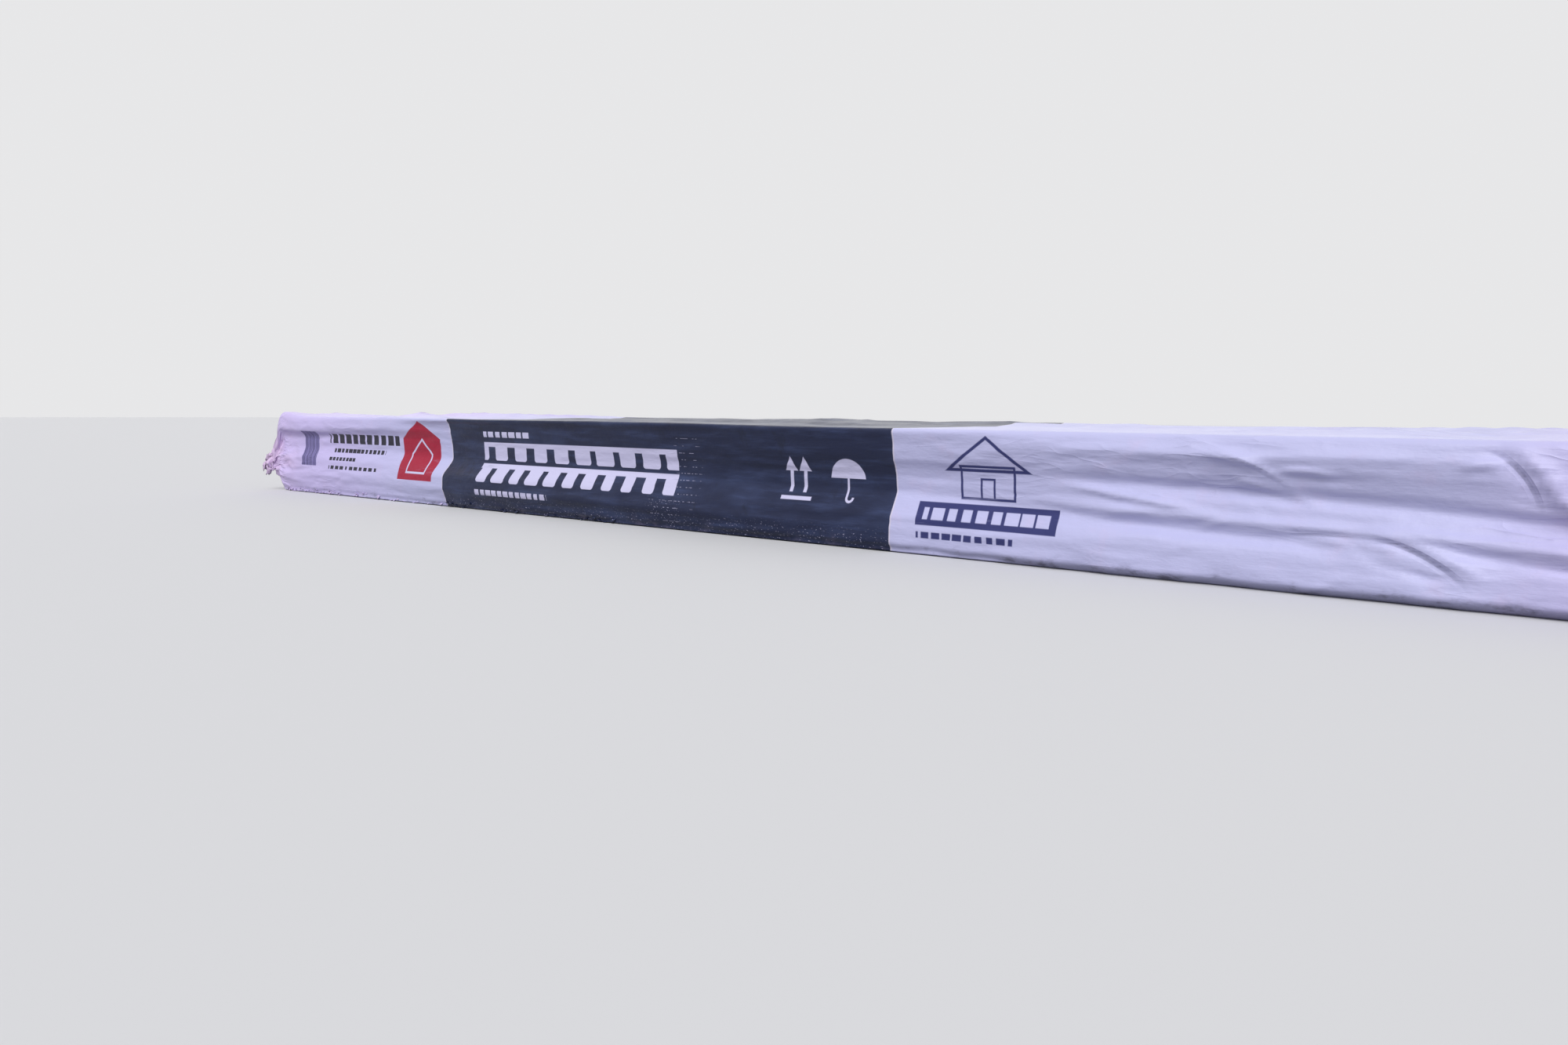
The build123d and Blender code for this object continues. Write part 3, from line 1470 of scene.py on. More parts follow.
@dataclass(frozen=True)
class Unevenness:
    """What lies between the named folds of a long side. Places are in metres and heights in millimetres."""

    drag: Grain = Grain(0.23, 0.012, 3)
    wave: Grain = Grain(0.060, 0.007)
    small_wave: Grain = Grain(0.021, 0.0048)
    lower_pucker: Grain = Grain(0.017, 0.03)
    upper_pucker: Grain = Grain(0.027, 0.03, start=40)
    heights: tuple[float, float, float, float] = (0.9, 0.28, 1.3, 0.6)
    small_share: float = 0.5
    least_drag: float = 0.35
    drag_shares: tuple[float, float] = (0.65, 0.5)
    rightward: Span = (0.68, 0.95)
    leftward: Span = (0.16, 0.0)
    lower_edge: Span = (0.013, 0.001)
    upper_edge: Span = (0.056, 0.067)

    def relief(self, noise: Sequence[Ripple], along: Array, up: Array) -> Array:
        """Adds the layers up.

        Args:
            noise: the three noises of the side.
            along: lengths from the left end.
            up: heights.

        Returns:
            How far the film stands out, in metres.
        """
        strength = self.least_drag + self.drag_shares[0] * ease(along, *self.rightward)
        strength = strength + self.drag_shares[1] * ease(along, *self.leftward)
        drag = self.drag.of(noise[0], along, up) * strength
        wave = self.wave.of(noise[1], along, up) + self.small_share * self.small_wave.of(noise[0], along, up)
        lower = self.lower_pucker.of(noise[2], along, up) * ease(up, *self.lower_edge)
        upper = self.upper_pucker.of(noise[2], along, up) * ease(up, *self.upper_edge)
        return sum(layer * height for layer, height in zip((drag, wave, lower, upper), self.heights)) * MM


@dataclass(frozen=True)
class Rumple:
    """The crumpled patch low at the front's left end."""

    centre: tuple[float, float] = (0.016, 0.026)
    spread: tuple[float, float] = (0.026, 0.013)
    grain: Grain = Grain(0.012, 0.0085)
    depth: float = 3.0 * MM
    shallowest: float = -0.3
    gathering: Grain = Grain(0.02, 0.006)

    def share(self, along: Array, up: Array) -> Array:
        """How crumpled the film is there, from 0 to 1."""
        places = zip((along, up), self.centre, self.spread)
        return np.exp(-sum(((place - middle) / spread) ** 2 for place, middle, spread in places))

    def crumples(self, noise: Ripple, along: Array, up: Array) -> Array:
        """How far the crumples stand in there."""
        return np.maximum(self.grain.of(noise, along, up), self.shallowest) * self.depth


@dataclass(frozen=True)
class TopForm:
    """How the film stands up from the top: long shallow folds, and a puff over the front's left corner."""

    folds: tuple[Fold, ...]
    along: float = 0.28
    across: float = 0.09
    slant: float = 0.2
    height: float = 2.2 * MM
    softness: float = 0.3 * MM
    puff_centre: float = 0.020
    puff_spread: float = 0.020
    puff_edge: Span = (-0.12, -0.168)
    puff_height: float = 3.0 * MM

    def relief(self, noise: Ripple, along: Array, across: Array, width: float) -> Array:
        """Shapes the top.

        Args:
            noise: the noise of its unevenness.
            along: lengths from the left end.
            across: places across the bundle.
            width: the film's width.

        Returns:
            How far the film stands up, never below the shingles.
        """
        drift = noise.layered(along / self.along + across / self.slant, across / self.across, 3)
        relief = np.maximum(drift, 0) * self.height
        for fold in self.folds:
            relief = relief + fold.relief(along, across + width / 2)
        puff = np.exp(-((along - self.puff_centre) / self.puff_spread) ** 2) * ease(across, *self.puff_edge)
        return kept_above(relief, 0.0, self.softness) + puff * self.puff_height


@dataclass(frozen=True)
class Tear:
    """The small hole worn through the film at the lower left corner of the front."""

    centre: tuple[float, float] = (0.022, 0.0015)
    radius: float = 2.0 * MM
    stretch: float = 1.3
    grain: Grain = Grain(0.003, 0.003)
    raggedness: float = 0.9 * MM

    def through(self, noise: Ripple, along: Array, up: Array) -> Array:
        """Marks the places that lie in the hole."""
        distance = np.hypot((along - self.centre[0]) / self.stretch, up - self.centre[1])
        return distance < self.radius + self.grain.of(noise, along, up) * self.raggedness


@dataclass
class EndClosure:
    """Draws the film in at both ends of the bundle to a flat weld with gathered ears."""

    length: float
    width: float
    height: float
    noise: FilmNoise
    depth: float = 8.9 * MM
    fin: float = 7.0 * MM
    # From half height to each layer of film in the weld
    lip: float = 0.31 * MM
    columns: int = 12
    fin_columns: int = 4
    column_power: float = 0.85
    # Each strip starts and ends at distances from the film's sides
    ear: float = 8.0 * MM
    ear_strip: Span = (14 * MM, 7 * MM)
    ear_crumple: float = 1.6 * MM
    corner_strip: Span = (55 * MM, 8 * MM)
    corner_reach: float = 4.0 * MM
    bunch: float = 7.0 * MM
    bunch_strip: Span = (16 * MM, 7 * MM)
    tuft: float = 4.2 * MM
    # How loose the three tighter corners are, where the front one at the left end has 1
    tight: float = 0.4
    pleat: float = 2.6 * MM
    pleat_pitch: float = 19 * MM
    pleat_reach: float = 45 * MM
    crumple: float = 0.8 * MM
    wave: float = 2.6 * MM
    small_wave: float = 0.7 * MM
    left_sag: float = 9.5 * MM
    right_sag: float = 5.0 * MM
    # Where the weld hangs down: in front of the middle plane at the left end, and behind it at the right
    sag_strip: tuple[Span, Span] = ((0.10, 0.172), (0.11, 0.172))
    # What the film's curves on the way to the weld are drawn towards: outwards, and to half height
    bulge: tuple[float, float] = (0.56, 0.50)
    fall: tuple[float, float] = (1.0, 0.05)
    swell_power: float = 0.8
    # Wavelengths, in metres
    crumples: tuple[float, float, float] = (0.009, 0.008, 0.01)
    frays: tuple[Span, Span, Span] = ((0.007, 0.008), (0.006, 0.007), (0.006, 0.006))
    upright_fray: float = 1.5
    weld_waves: Span = (0.05, 0.012)
    # How strong the weld's waves are where it starts, beside its edge
    inner_waves: float = 0.4
    # Shares of the way to the weld at which something sets in and is complete
    ear_grows: Span = (0.15, 1.0)
    sag_grows: Span = (0.1, 1.0)
    bunch_grows: Span = (0.3, 1.0)
    tuft_grows: Span = (0.15, 0.7)
    gather_grows: Span = (0.0, 0.6)
    # How much of the gathered look comes before the closure, on the way to the weld and at the ears
    gather_shares: tuple[float, float, float] = (0.25, 0.75, 0.5)
    # How much the pink tint drops between the pleats' crests: painted shading that marks the pleats
    pleat_shading_tint: float = 0.4
    ear_looseness: Span = (0.6, 0.7)

    @property
    def tube_half(self) -> float:
        """Half the length of the straight tube between the closures."""
        return self.length / 2 - self.depth - self.fin

    def steps(self) -> Array:
        """How far the columns are into a closure: 0 to 1 on the way to the weld, and 1 to 2 across it."""
        closing = np.linspace(0, 1, self.columns + 1)[1:] ** self.column_power
        return np.concatenate([closing, 1 + np.linspace(0, 1, self.fin_columns + 1)[1:]])

    def strip(self, across: Array, span: Span) -> Array:
        """Goes from 0 to 1 between two distances from the sides."""
        return ease(np.abs(across), self.width / 2 - span[0], self.width / 2 - span[1])

    def close(self, x: Array, y: Array, z: Array, into: Array) -> tuple[Array, Array, Array, Array]:
        """Draws the film in.

        Whole numbers in the noises' places only make the ends and the layers of film differ.

        Args:
            x: places along the bundle, held at the tube's ends.
            y: places across it.
            z: heights.
            into: how far each column is into a closure, negative at the left end.

        Returns:
            The new places, and how gathered the film is, the tint strongest on pleat crests as painted
            shading.
        """
        middle = self.height / 2
        side = np.sign(into)[None, :]
        t = np.clip(np.abs(into), 0, 1)[None, :]
        weld = np.clip(np.abs(into) - 1, 0, 1)[None, :]
        lift = np.clip((z - middle) / middle, -1, 1)
        face = np.abs(lift)
        loose = np.where((side < 0) & (y < 0), 1.0, self.tight)
        wall = self.strip(y, self.ear_strip) * (1 - face)
        corner = self.strip(y, self.corner_strip)
        near = ease(self.tube_half - np.abs(x), self.pleat_reach, 0.0)
        pleat = self.noise.pleats.ridges(y / self.pleat_pitch + 31 * side, 0.4 * t + 11 * (lift > 0)) ** 2
        by_y, by_z, by_x = self.crumples
        crumple = self.noise.crumples.layered(y / by_y + z / by_z, x / by_x + 3 * t + 17 * side, 2)

        out = curve(t, 0.0, *self.bulge, 1.0) * face ** 2 + t * (1 - face ** 2)
        swell = np.sin(np.pi * t) ** self.swell_power
        creased = (pleat * self.pleat + crumple * self.crumple) * swell
        new_x = x + side * (self.depth * out + self.fin * weld + creased)
        new_x = new_x + side * self.corner_reach * corner * (loose - self.tight) * t ** 2
        least, more = self.ear_looseness
        outward = wall * self.ear * (least + more * loose) * ease(t, *self.ear_grows)
        new_y = y + np.sign(y) * (outward + crumple * wall * self.ear_crumple * t)
        welded = middle + np.where(lift >= 0, self.lip, -self.lip)
        new_z = welded + (z - welded) * curve(t, 1.0, *self.fall, 0.0)
        new_z = new_z + self.waves(y, side, weld) * t ** 3 - self.sag(y, side) * ease(t, *self.sag_grows)
        new_z = new_z + pleat * near * (t == 0) * (lift > 0.9) * MM

        bunch = self.strip(y, self.bunch_strip) * loose * ease(t, *self.bunch_grows) * self.bunch
        new_x = new_x + side * bunch * 0.5 * np.sin(np.pi * face) ** 2
        new_z = new_z + bunch * np.sin(np.pi * lift)
        tuft, noise = corner * ease(t, *self.tuft_grows) * self.tuft * loose, self.noise.frays
        fray_x, fray_y, fray_z = self.frays
        new_x = new_x + tuft * noise.layered(z / fray_x[0], y / fray_x[1] + 3 * t, 2)
        new_y = new_y + tuft * noise.layered(z / fray_y[0] + 20, y / fray_y[1] + 4 * t, 2)
        upright = noise.layered(y / fray_z[0] + 40, z / fray_z[1] + 4 * t + 2 * weld, 2)
        new_z = new_z + tuft * self.upright_fray * upright
        before, closing, at_ear = self.gather_shares
        gather = before * near + closing * ease(t, *self.gather_grows) + at_ear * wall * t
        # The pink tint follows the pleats' crests: painted shading
        return new_x, new_y, new_z, np.clip(gather * (1 - self.pleat_shading_tint * (1 - pleat)), 0, 1)

    def waves(self, across: Array, side: Array, weld: Array) -> Array:
        """Waves the weld up and down.

        Args:
            across: places across the bundle.
            side: -1 at the left end and 1 at the right.
            weld: how far each column is across the weld.

        Returns:
            How far the film is moved up.
        """
        wide = self.noise.weld.layered(across / self.weld_waves[0], 5.0 + 2 * side, 2) * self.wave
        small = self.noise.weld.layered(across / self.weld_waves[1], 9.0 + weld, 2) * self.small_wave
        return (wide + small) * (self.inner_waves + (1 - self.inner_waves) * weld)

    def sag(self, across: Array, side: Array) -> Array:
        """How far the weld hangs down at those places across the bundle, at the end on that side."""
        left = self.left_sag * ease(-across, *self.sag_strip[0]) * (side < 0)
        return left + self.right_sag * ease(across, *self.sag_strip[1]) * (side > 0)


@dataclass
class FilmMesh:
    """The film as points and faces, before it has its thickness."""

    places: Array
    flat: Array
    gather: Array
    faces: list[list[int]]

    def hang(self, corners: Array, flat: Array, gather: float = 0.5) -> None:
        """Adds a torn flap, as a four-sided face and its tip.

        Args:
            corners: its five corners: two at its root, two at its bend and one at its tip.
            flat: their sheet coordinates.
            gather: how gathered it looks.
        """
        first = len(self.places)
        self.faces += [[first, first + 1, first + 2, first + 3], [first + 3, first + 2, first + 4]]
        self.places = np.vstack([self.places, corners])
        self.flat = np.vstack([self.flat, flat])
        self.gather = np.append(self.gather, np.full(len(corners), gather))

    def piece(self, name: str) -> bpy.types.Object:
        """Makes an object of the film.

        Args:
            name: its name.

        Returns:
            The object, which the scene shows.
        """
        mesh = bpy.data.meshes.new(name)
        mesh.from_pydata(self.places.tolist(), [], self.faces)
        layer = mesh.uv_layers.new(name="sheet")
        corner_points = np.zeros(len(mesh.loops), np.int32)
        mesh.loops.foreach_get("vertex_index", corner_points)
        layer.data.foreach_set("uv", self.flat[corner_points].astype(np.float32).ravel())
        attribute = mesh.attributes.new("gather", "FLOAT", "POINT")
        attribute.data.foreach_set("value", self.gather.astype(np.float32))
        piece = bpy.data.objects.new(name, mesh)
        bpy.context.scene.collection.objects.link(piece)
        return piece


@dataclass
class Wrapper:
    """The film round the stack, from its lap seam on the underside right round, and from weld to weld."""

    length: float
    height: float
    edges: StackEdges
    front: LongSide
    back: LongSide
    top: TopForm
    sag: CutoutSag
    unevenness: Unevenness = Unevenness()
    rumple: Rumple = Rumple()
    tear: Tear = Tear()
    shreds: Shreds = Shreds()
    width: float = 349.8 * MM
    thickness: float = 0.3 * MM
    edge_radius: float = 3.0 * MM
    lower_radius: float = 3.4 * MM
    lap: float = 30.0 * MM
    lap_lift: float = 0.31 * MM
    # The lap's inner layer comes down to the other one's level between these distances past the lap
    lap_rise: Span = (9 * MM, 3 * MM)
    lap_steps: int = 7
    lower_steps: int = 5
    corner_steps: int = 4
    front_steps: int = 48
    top_steps: int = 46
    back_steps: int = 21
    # How far the forms of the sides and of the top fade out past the rounded edges
    fade: float = 16 * MM
    # Rows with more than this share of a side's form are kept outside the shingles
    upright_share: float = 0.98
    side_softness: float = 0.25 * MM
    # The top starts to sink at the first distance from the sides and sinks in full from the second
    flat_rim: Span = (6 * MM, 38 * MM)
    column_pitch: float = 4.6 * MM
    end_pitch: float = 2.5 * MM
    left_zone: float = 105 * MM
    right_zone: float = 205 * MM
    # The film's length in an end, past the closure's depth
    end_film: float = 30 * MM
    least_rumpled: float = 0.55
    seed: int = 20

    def __post_init__(self) -> None:
        """Works out what the methods share."""
        self.noise = FilmNoise(self.seed)
        self.closure = EndClosure(self.length, self.width, self.height, self.noise)
        self.rows = self._girth_rows()

    def _girth_rows(self) -> GirthRows:
        """Walks round the rounded section.

        Returns:
            The rows.
        """
        half, high = self.width / 2, self.height
        low, top = self.lower_radius, self.edge_radius
        walk = Walk()
        walk.run((self.lap / 2, 0.0), (-half + low, 0.0), self.lap_steps)
        walk.turn((-half + low, low), low, 270.0, self.lower_steps)
        walk.run((-half, low), (-half, high - top), self.front_steps)
        walk.turn((-half + top, high - top), top, 180.0, self.corner_steps)
        walk.run((-half + top, high), (half - top, high), self.top_steps)
        walk.turn((half - top, high - top), top, 90.0, self.corner_steps)
        walk.run((half, high - top), (half, low), self.back_steps)
        walk.turn((half - low, low), low, 0.0, self.corner_steps)
        walk.run((half - low, 0.0), (-self.lap / 2, 0.0), self.lap_steps)
        walk.points.append((-self.lap / 2, 0.0))

        across, up = np.array(walk.points).T
        girth = np.concatenate([[0.0], np.cumsum(np.hypot(np.diff(across), np.diff(up)))])
        lower_edge = self.lap_steps + 1
        before_lap = ease(across, -self.lap / 2 - self.lap_rise[0], -self.lap / 2 - self.lap_rise[1])
        inner = np.arange(len(across)) < self.lap_steps
        rim = half - top
        return GirthRows(
            across=across,
            up=up,
            girth=girth - girth[lower_edge],
            lifted=before_lap * inner,
            front=ease(-across, rim - self.fade, rim),
            top=ease(up, high - top - self.fade, high - top),
            back=ease(across, rim - self.fade, rim),
        )

    def columns(self) -> tuple[Array, Array]:
        """Places the mesh's columns.

        Returns:
            Their places along the tube, held at its ends, and how far each is into a closure, with a minus
            at the left end.
        """
        tube_half = self.closure.tube_half
        left = np.arange(0, self.left_zone, self.end_pitch)
        right = np.arange(0, self.right_zone, self.end_pitch)
        middle_count = int((2 * tube_half - self.left_zone - self.right_zone) / self.column_pitch)
        middle = np.linspace(-tube_half + self.left_zone, tube_half - self.right_zone, middle_count)
        tube = np.concatenate([-tube_half + left, middle, (tube_half - right)[::-1]])
        into = self.closure.steps()
        held = np.full(len(into), tube_half)
        place = np.concatenate([-held, tube, held])
        return place, np.concatenate([-into[::-1], np.zeros(len(tube)), into])

    def film_points(self) -> tuple[Array, Array, Array, Array]:
        """Works out the sheet.

        Returns:
            The points, as rows by columns by three; the sheet's two coordinates; how gathered the film is.
        """
        rows, noise = self.rows, self.noise
        place, into = self.columns()
        x, y, z, girth = (a.copy() for a in np.broadcast_arrays(
            place[None, :], rows.across[:, None], rows.up[:, None], rows.girth[:, None]
        ))
        along = x + self.length / 2
        front, back = rows.front[:, None], rows.back[:, None]

        out_front = self.front.relief(along, z) + self.unevenness.relief(noise.front, along, z)
        out_back = self.back.relief(self.length - along, z) + self.unevenness.relief(noise.back, along, z)
        y = y - out_front * front + out_back * back
        rumpled = self.rumple.share(along, z) * front
        y = y - rumpled * self.rumple.crumples(noise.frays, along, z)
        y = self.outside(y, z, front, back)
        on_top = rows.up[:, None] > self.height - HAIR
        sunk = self.sag.at(x, y) * on_top * ease(self.width / 2 - np.abs(y), *self.flat_rim)
        z = z + self.top.relief(noise.top, along, y, self.width) * rows.top[:, None] - sunk
        z = z + self.lap_lift * rows.lifted[:, None]

        x, y, z, gather = self.closure.close(x, y, z, into)
        rumples = self.rumple.gathering.of(noise.crumples, along, z)
        rumpled_look = self.least_rumpled + (1 - self.least_rumpled) * rumples
        gather = np.maximum(gather, rumpled * rumpled_look)
        beyond = into[None, :] * (self.closure.depth + self.end_film) * 0.5
        return np.stack([x, y, z], axis=-1), along + beyond, girth, gather

    def outside(self, across: Array, up: Array, front: Array, back: Array) -> Array:
        """Keeps the film outside the shingles' edges.

        Args:
            across: places across the bundle.
            up: heights.
            front: the share of the front's form in each row.
            back: the share of the back's.

        Returns:
            The places across, moved out where they have to be.
        """
        in_stack = (up > self.thickness) & (up < self.height - self.thickness)
        for side, share in ((-1, front), (1, back)):
            kept = kept_above(across * side, self.edges.limit(up, side), self.side_softness)
            across = np.where((share > self.upright_share) & in_stack, side * kept, across)
        return across

    def mesh(self) -> FilmMesh:
        """Joins the sheet's points to faces, leaves out the hole and hangs the flaps on.

        Returns:
            The film.
        """
        points, along, up, gather = self.film_points()
        number = np.arange(along.size).reshape(along.shape)
        quads = np.stack([number[:-1, :-1], number[:-1, 1:], number[1:, 1:], number[1:, :-1]], axis=-1)
        middle_along, middle_up = ((a[:-1, :-1] + a[1:, 1:]) / 2 for a in (along, up))
        whole = ~self.tear.through(self.noise.crumples, middle_along, middle_up)
        flat = np.stack([along.ravel(), up.ravel()], axis=-1)
        film = FilmMesh(points.reshape(-1, 3), flat, gather.ravel(), quads[whole].tolist())
        for (row, column), corners in self.shreds.flaps(points, self.length):
            moved = (corners - points[row, column])[:, [0, 2]]
            film.hang(corners, [along[row, column], up[row, column]] + moved)
        return film

    def build(self) -> bpy.types.Object:
        """Makes the film and gives it its thickness.

        Returns:
            The film.
        """
        piece = self.mesh().piece("film_wrapper")
        select_only(piece)
        wall = piece.modifiers.new("wall", "SOLIDIFY")
        wall.thickness = self.thickness
        wall.offset = -1.0
        bpy.ops.object.modifier_apply(modifier=wall.name)
        bpy.ops.object.shade_smooth()
        return piece

    def flat_size(self) -> tuple[float, float]:
        """The width and length that the film was cut to."""
        girth = 2 * (self.width + self.height) + self.lap
        return girth, self.length + self.height / 2

    def dress(self, finish: PrintedFilm) -> bpy.types.Object:
        """Args:
            finish: the finish.

        Returns:
            The film.
        """
        piece = self.build()
        piece.data.materials.append(finish.build())
        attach(piece, "root")
        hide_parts("wrapper")
        self.flat_size()
        return piece


@dataclass(frozen=True)
class Crinkles:
    """Many short folds strewn over a part of the film.

    Attributes:
        low: least length and height of their middles, in millimetres.
        high: greatest length and height.
        count: how many.
        length: shortest and longest.
        width: half the width of the narrowest and of the widest.
        height: how far the strongest stands out.
        slant: how far they turn from the bundle's length, in degrees.
        seed: what their places are drawn from.
        bow: how far they bend to one side at most, as a share of half their length.
        weakest: the height of the weakest as a share of the strongest's.
        lean: how far they lean at most.
    """

    low: tuple[float, float]
    high: tuple[float, float]
    count: int
    length: tuple[float, float]
    width: tuple[float, float]
    height: float
    slant: float
    seed: int
    bow: float = 0.25
    weakest: float = 0.35
    lean: float = 0.6

    def folds(self) -> tuple[Fold, ...]:
        """Draws them.

        Returns:
            The folds, hollow and raised ones, crisp and firm ones.
        """
        draw = np.random.default_rng(self.seed)
        made = []
        for _ in range(self.count):
            middle = draw.uniform(self.low, self.high)
            half = draw.uniform(*self.length) / 2
            angle = math.radians(draw.normal(0.0, self.slant))
            reach = np.array([math.cos(angle), math.sin(angle)]) * half
            bow = np.array([-reach[1], reach[0]]) * draw.uniform(-self.bow, self.bow)
            path = tuple(tuple(p) for p in (middle - reach, middle + bow, middle + reach))
            height = self.height * draw.uniform(self.weakest, 1.0) * draw.choice([-1.0, 1.0])
            crest = Crest.CRISP if draw.uniform() < 0.5 else Crest.FIRM
            width, lean = draw.uniform(*self.width), draw.uniform(-self.lean, self.lean)
            made.append(Fold(path, width, height, crest, lean))
        return tuple(made)


def strewn(areas: Sequence[Crinkles]) -> tuple[Fold, ...]:
    """All the short folds of several parts of the film."""
    return sum((area.folds() for area in areas), ())


LEFT_END_FOLDS = (
    Fold(((6, 54), (60, 53), (140, 52)), 2.2, -1.7, Crest.FIRM, lean=0.4, fade=(0.05, 0.5)),
    Fold(((-6, 24), (35, 31), (98, 37)), 1.5, 1.1, Crest.CRISP, fade=(0.05, 0.7)),
    Fold(((-6, 20), (40, 20), (90, 25)), 1.6, -1.1, Crest.FIRM, fade=(0.05, 0.7)),
    Fold(((-6, 17), (30, 12), (84, 8)), 1.4, 1.2, Crest.CRISP, fade=(0.05, 0.7)),
    Fold(((-4, 27), (20, 37), (46, 47)), 1.6, -1.0, Crest.FIRM, fade=(0.05, 0.7)),
    Fold(((-4, 13), (24, 7), (66, 3)), 1.3, -0.9, Crest.CRISP, fade=(0.05, 0.7)),
    Fold(((0, 30), (10, 42), (22, 53)), 1.8, 1.0, Crest.FIRM, fade=(0.05, 0.6)),
    Fold(((40, 14), (92, 17), (150, 12)), 1.6, 0.5, Crest.FIRM),
    Fold(((110, 8), (170, 10), (236, 5)), 1.8, -0.5, Crest.SOFT),
)

PANEL_FOLDS = (
    Fold(((262, 17), (450, 15), (690, 9)), 3.0, 0.5),
    Fold(((300, 41), (500, 35), (690, 27)), 2.6, -0.5),
    Fold(((276, 62), (420, 60), (600, 61)), 2.0, 0.6),
    Fold(((430, 48), (560, 46), (700, 44)), 1.8, 0.5),
)

RIGHT_THIRD_FOLDS = (
    Fold(((690, 62), (830, 60), (958, 60)), 4.2, 2.4, fade=(0.5, 0.25)),
    Fold(((740, 47), (840, 43), (913, 40), (972, 36), (1100, 32)), 3.6, -2.8, fade=(0.3, 0.0)),
    Fold(((740, 34), (818, 31), (885, 29), (925, 25)), 2.8, 2.4, fade=(0.4, 0.2)),
    Fold(((750, 28), (820, 24), (885, 21), (925, 17)), 2.8, -2.0, fade=(0.4, 0.3)),
    Fold(((896, 31), (940, 28), (985, 26), (1100, 24)), 2.6, 2.6, fade=(0.2, 0.0)),
    Fold(((920, 23), (960, 20), (1000, 18), (1100, 17)), 2.4, -2.0, fade=(0.2, 0.0)),
    Fold(((868, 27), (909, 26), (924, 21), (933, 15), (941, 9)), 2.1, -2.0, Crest.CRISP, 0.5, (0.25, 0.3)),
    Fold(((900, 28), (915, 27), (930, 22), (940, 16), (950, 10)), 3.0, 2.2, Crest.FIRM, 0.0, (0.25, 0.3)),
    Fold(((941, 66), (949, 61), (956, 54), (959, 48), (961, 43)), 1.9, -1.6, Crest.CRISP, 0.6),
    Fold(
        ((948, 67), (956, 62), (963, 55), (967, 48), (976, 42), (1000, 35)),
        2.8, 2.6, Crest.FIRM, 0.0, (0.2, 0.3),
    ),
    Fold(
        ((824, 67), (840, 61), (855, 57), (867, 52), (876, 44), (888, 36)),
        1.5, 1.3, Crest.CRISP, 0.5, (0.1, 0.4),
    ),
    Fold(((760, 44.5), (808, 37.5), (850, 32.5)), 1.7, 2.3, Crest.FIRM, 0.4, (0.4, 0.4)),
    Fold(((866, 51), (884, 50), (902, 49)), 1.4, -0.9, Crest.FIRM),
    Fold(((866, 53), (880, 53.5), (894, 51.5)), 1.8, 1.9, Crest.FIRM),
    Fold(((934, 56), (942, 58.5), (951, 58)), 2.0, 1.9, Crest.FIRM),
    Fold(((898, 24), (908, 23.5), (918, 21)), 1.4, 1.3, Crest.FIRM),
    Fold(((838, 60), (852, 58), (866, 54)), 2.0, 1.7, Crest.FIRM),
    Fold(((905, 16), (922, 14), (934, 9)), 1.4, -0.8, Crest.FIRM),
    Fold(((917, 13.5), (939, 11.5)), 1.3, -1.1, Crest.CRISP, 0.5),
    Fold(((846, 51), (862, 45.7), (892, 36)), 1.5, 1.4, Crest.CRISP, -0.5, (0.2, 0.3)),
    Fold(((842, 59), (856, 61), (880, 61)), 1.4, -0.8, Crest.FIRM),
    Fold(((700, 14), (800, 15), (900, 12)), 4.0, 0.7),
    Fold(((1018, 30), (990, 40), (960, 50)), 1.8, -1.1, Crest.FIRM, fade=(0.05, 0.7)),
    Fold(((1018, 26), (995, 23), (968, 15)), 1.8, 1.1, Crest.FIRM, fade=(0.05, 0.7)),
)

TOP_FOLDS = (
    Fold(((-5, 170), (60, 120), (240, 40)), 8.0, 3.7, Crest.FIRM, 0.4, (0.1, 0.6)),
    Fold(((-5, 185), (80, 176), (330, 150)), 9.0, 3.1, Crest.SOFT, fade=(0.1, 0.6)),
    Fold(((-5, 200), (70, 240), (260, 300)), 8.0, 3.4, Crest.FIRM, -0.4, (0.1, 0.6)),
    Fold(((-5, 60), (50, 52), (180, 60)), 7.0, 2.5, Crest.FIRM, fade=(0.1, 0.6)),
    Fold(((-5, 290), (50, 300), (160, 290)), 7.0, 2.4, Crest.FIRM, fade=(0.1, 0.6)),
    Fold(((1040, 160), (960, 110), (780, 50)), 8.0, 3.7, Crest.FIRM, -0.4, (0.1, 0.6)),
    Fold(((1040, 178), (940, 190), (690, 220)), 9.0, 3.1, Crest.SOFT, fade=(0.1, 0.6)),
    Fold(((1040, 210), (970, 260), (800, 318)), 8.0, 3.2, Crest.FIRM, 0.4, (0.1, 0.6)),
    Fold(((1040, 70), (980, 66), (860, 90)), 7.0, 2.5, Crest.FIRM, fade=(0.1, 0.6)),
    Fold(((200, 90), (420, 120), (700, 100)), 10.0, 2.4),
    Fold(((300, 250), (520, 230), (820, 262)), 10.0, 2.5),
    Fold(((140, 180), (300, 200), (480, 186)), 8.0, 1.9),
    Fold(((560, 170), (700, 160), (860, 176)), 8.0, 2.0),
)

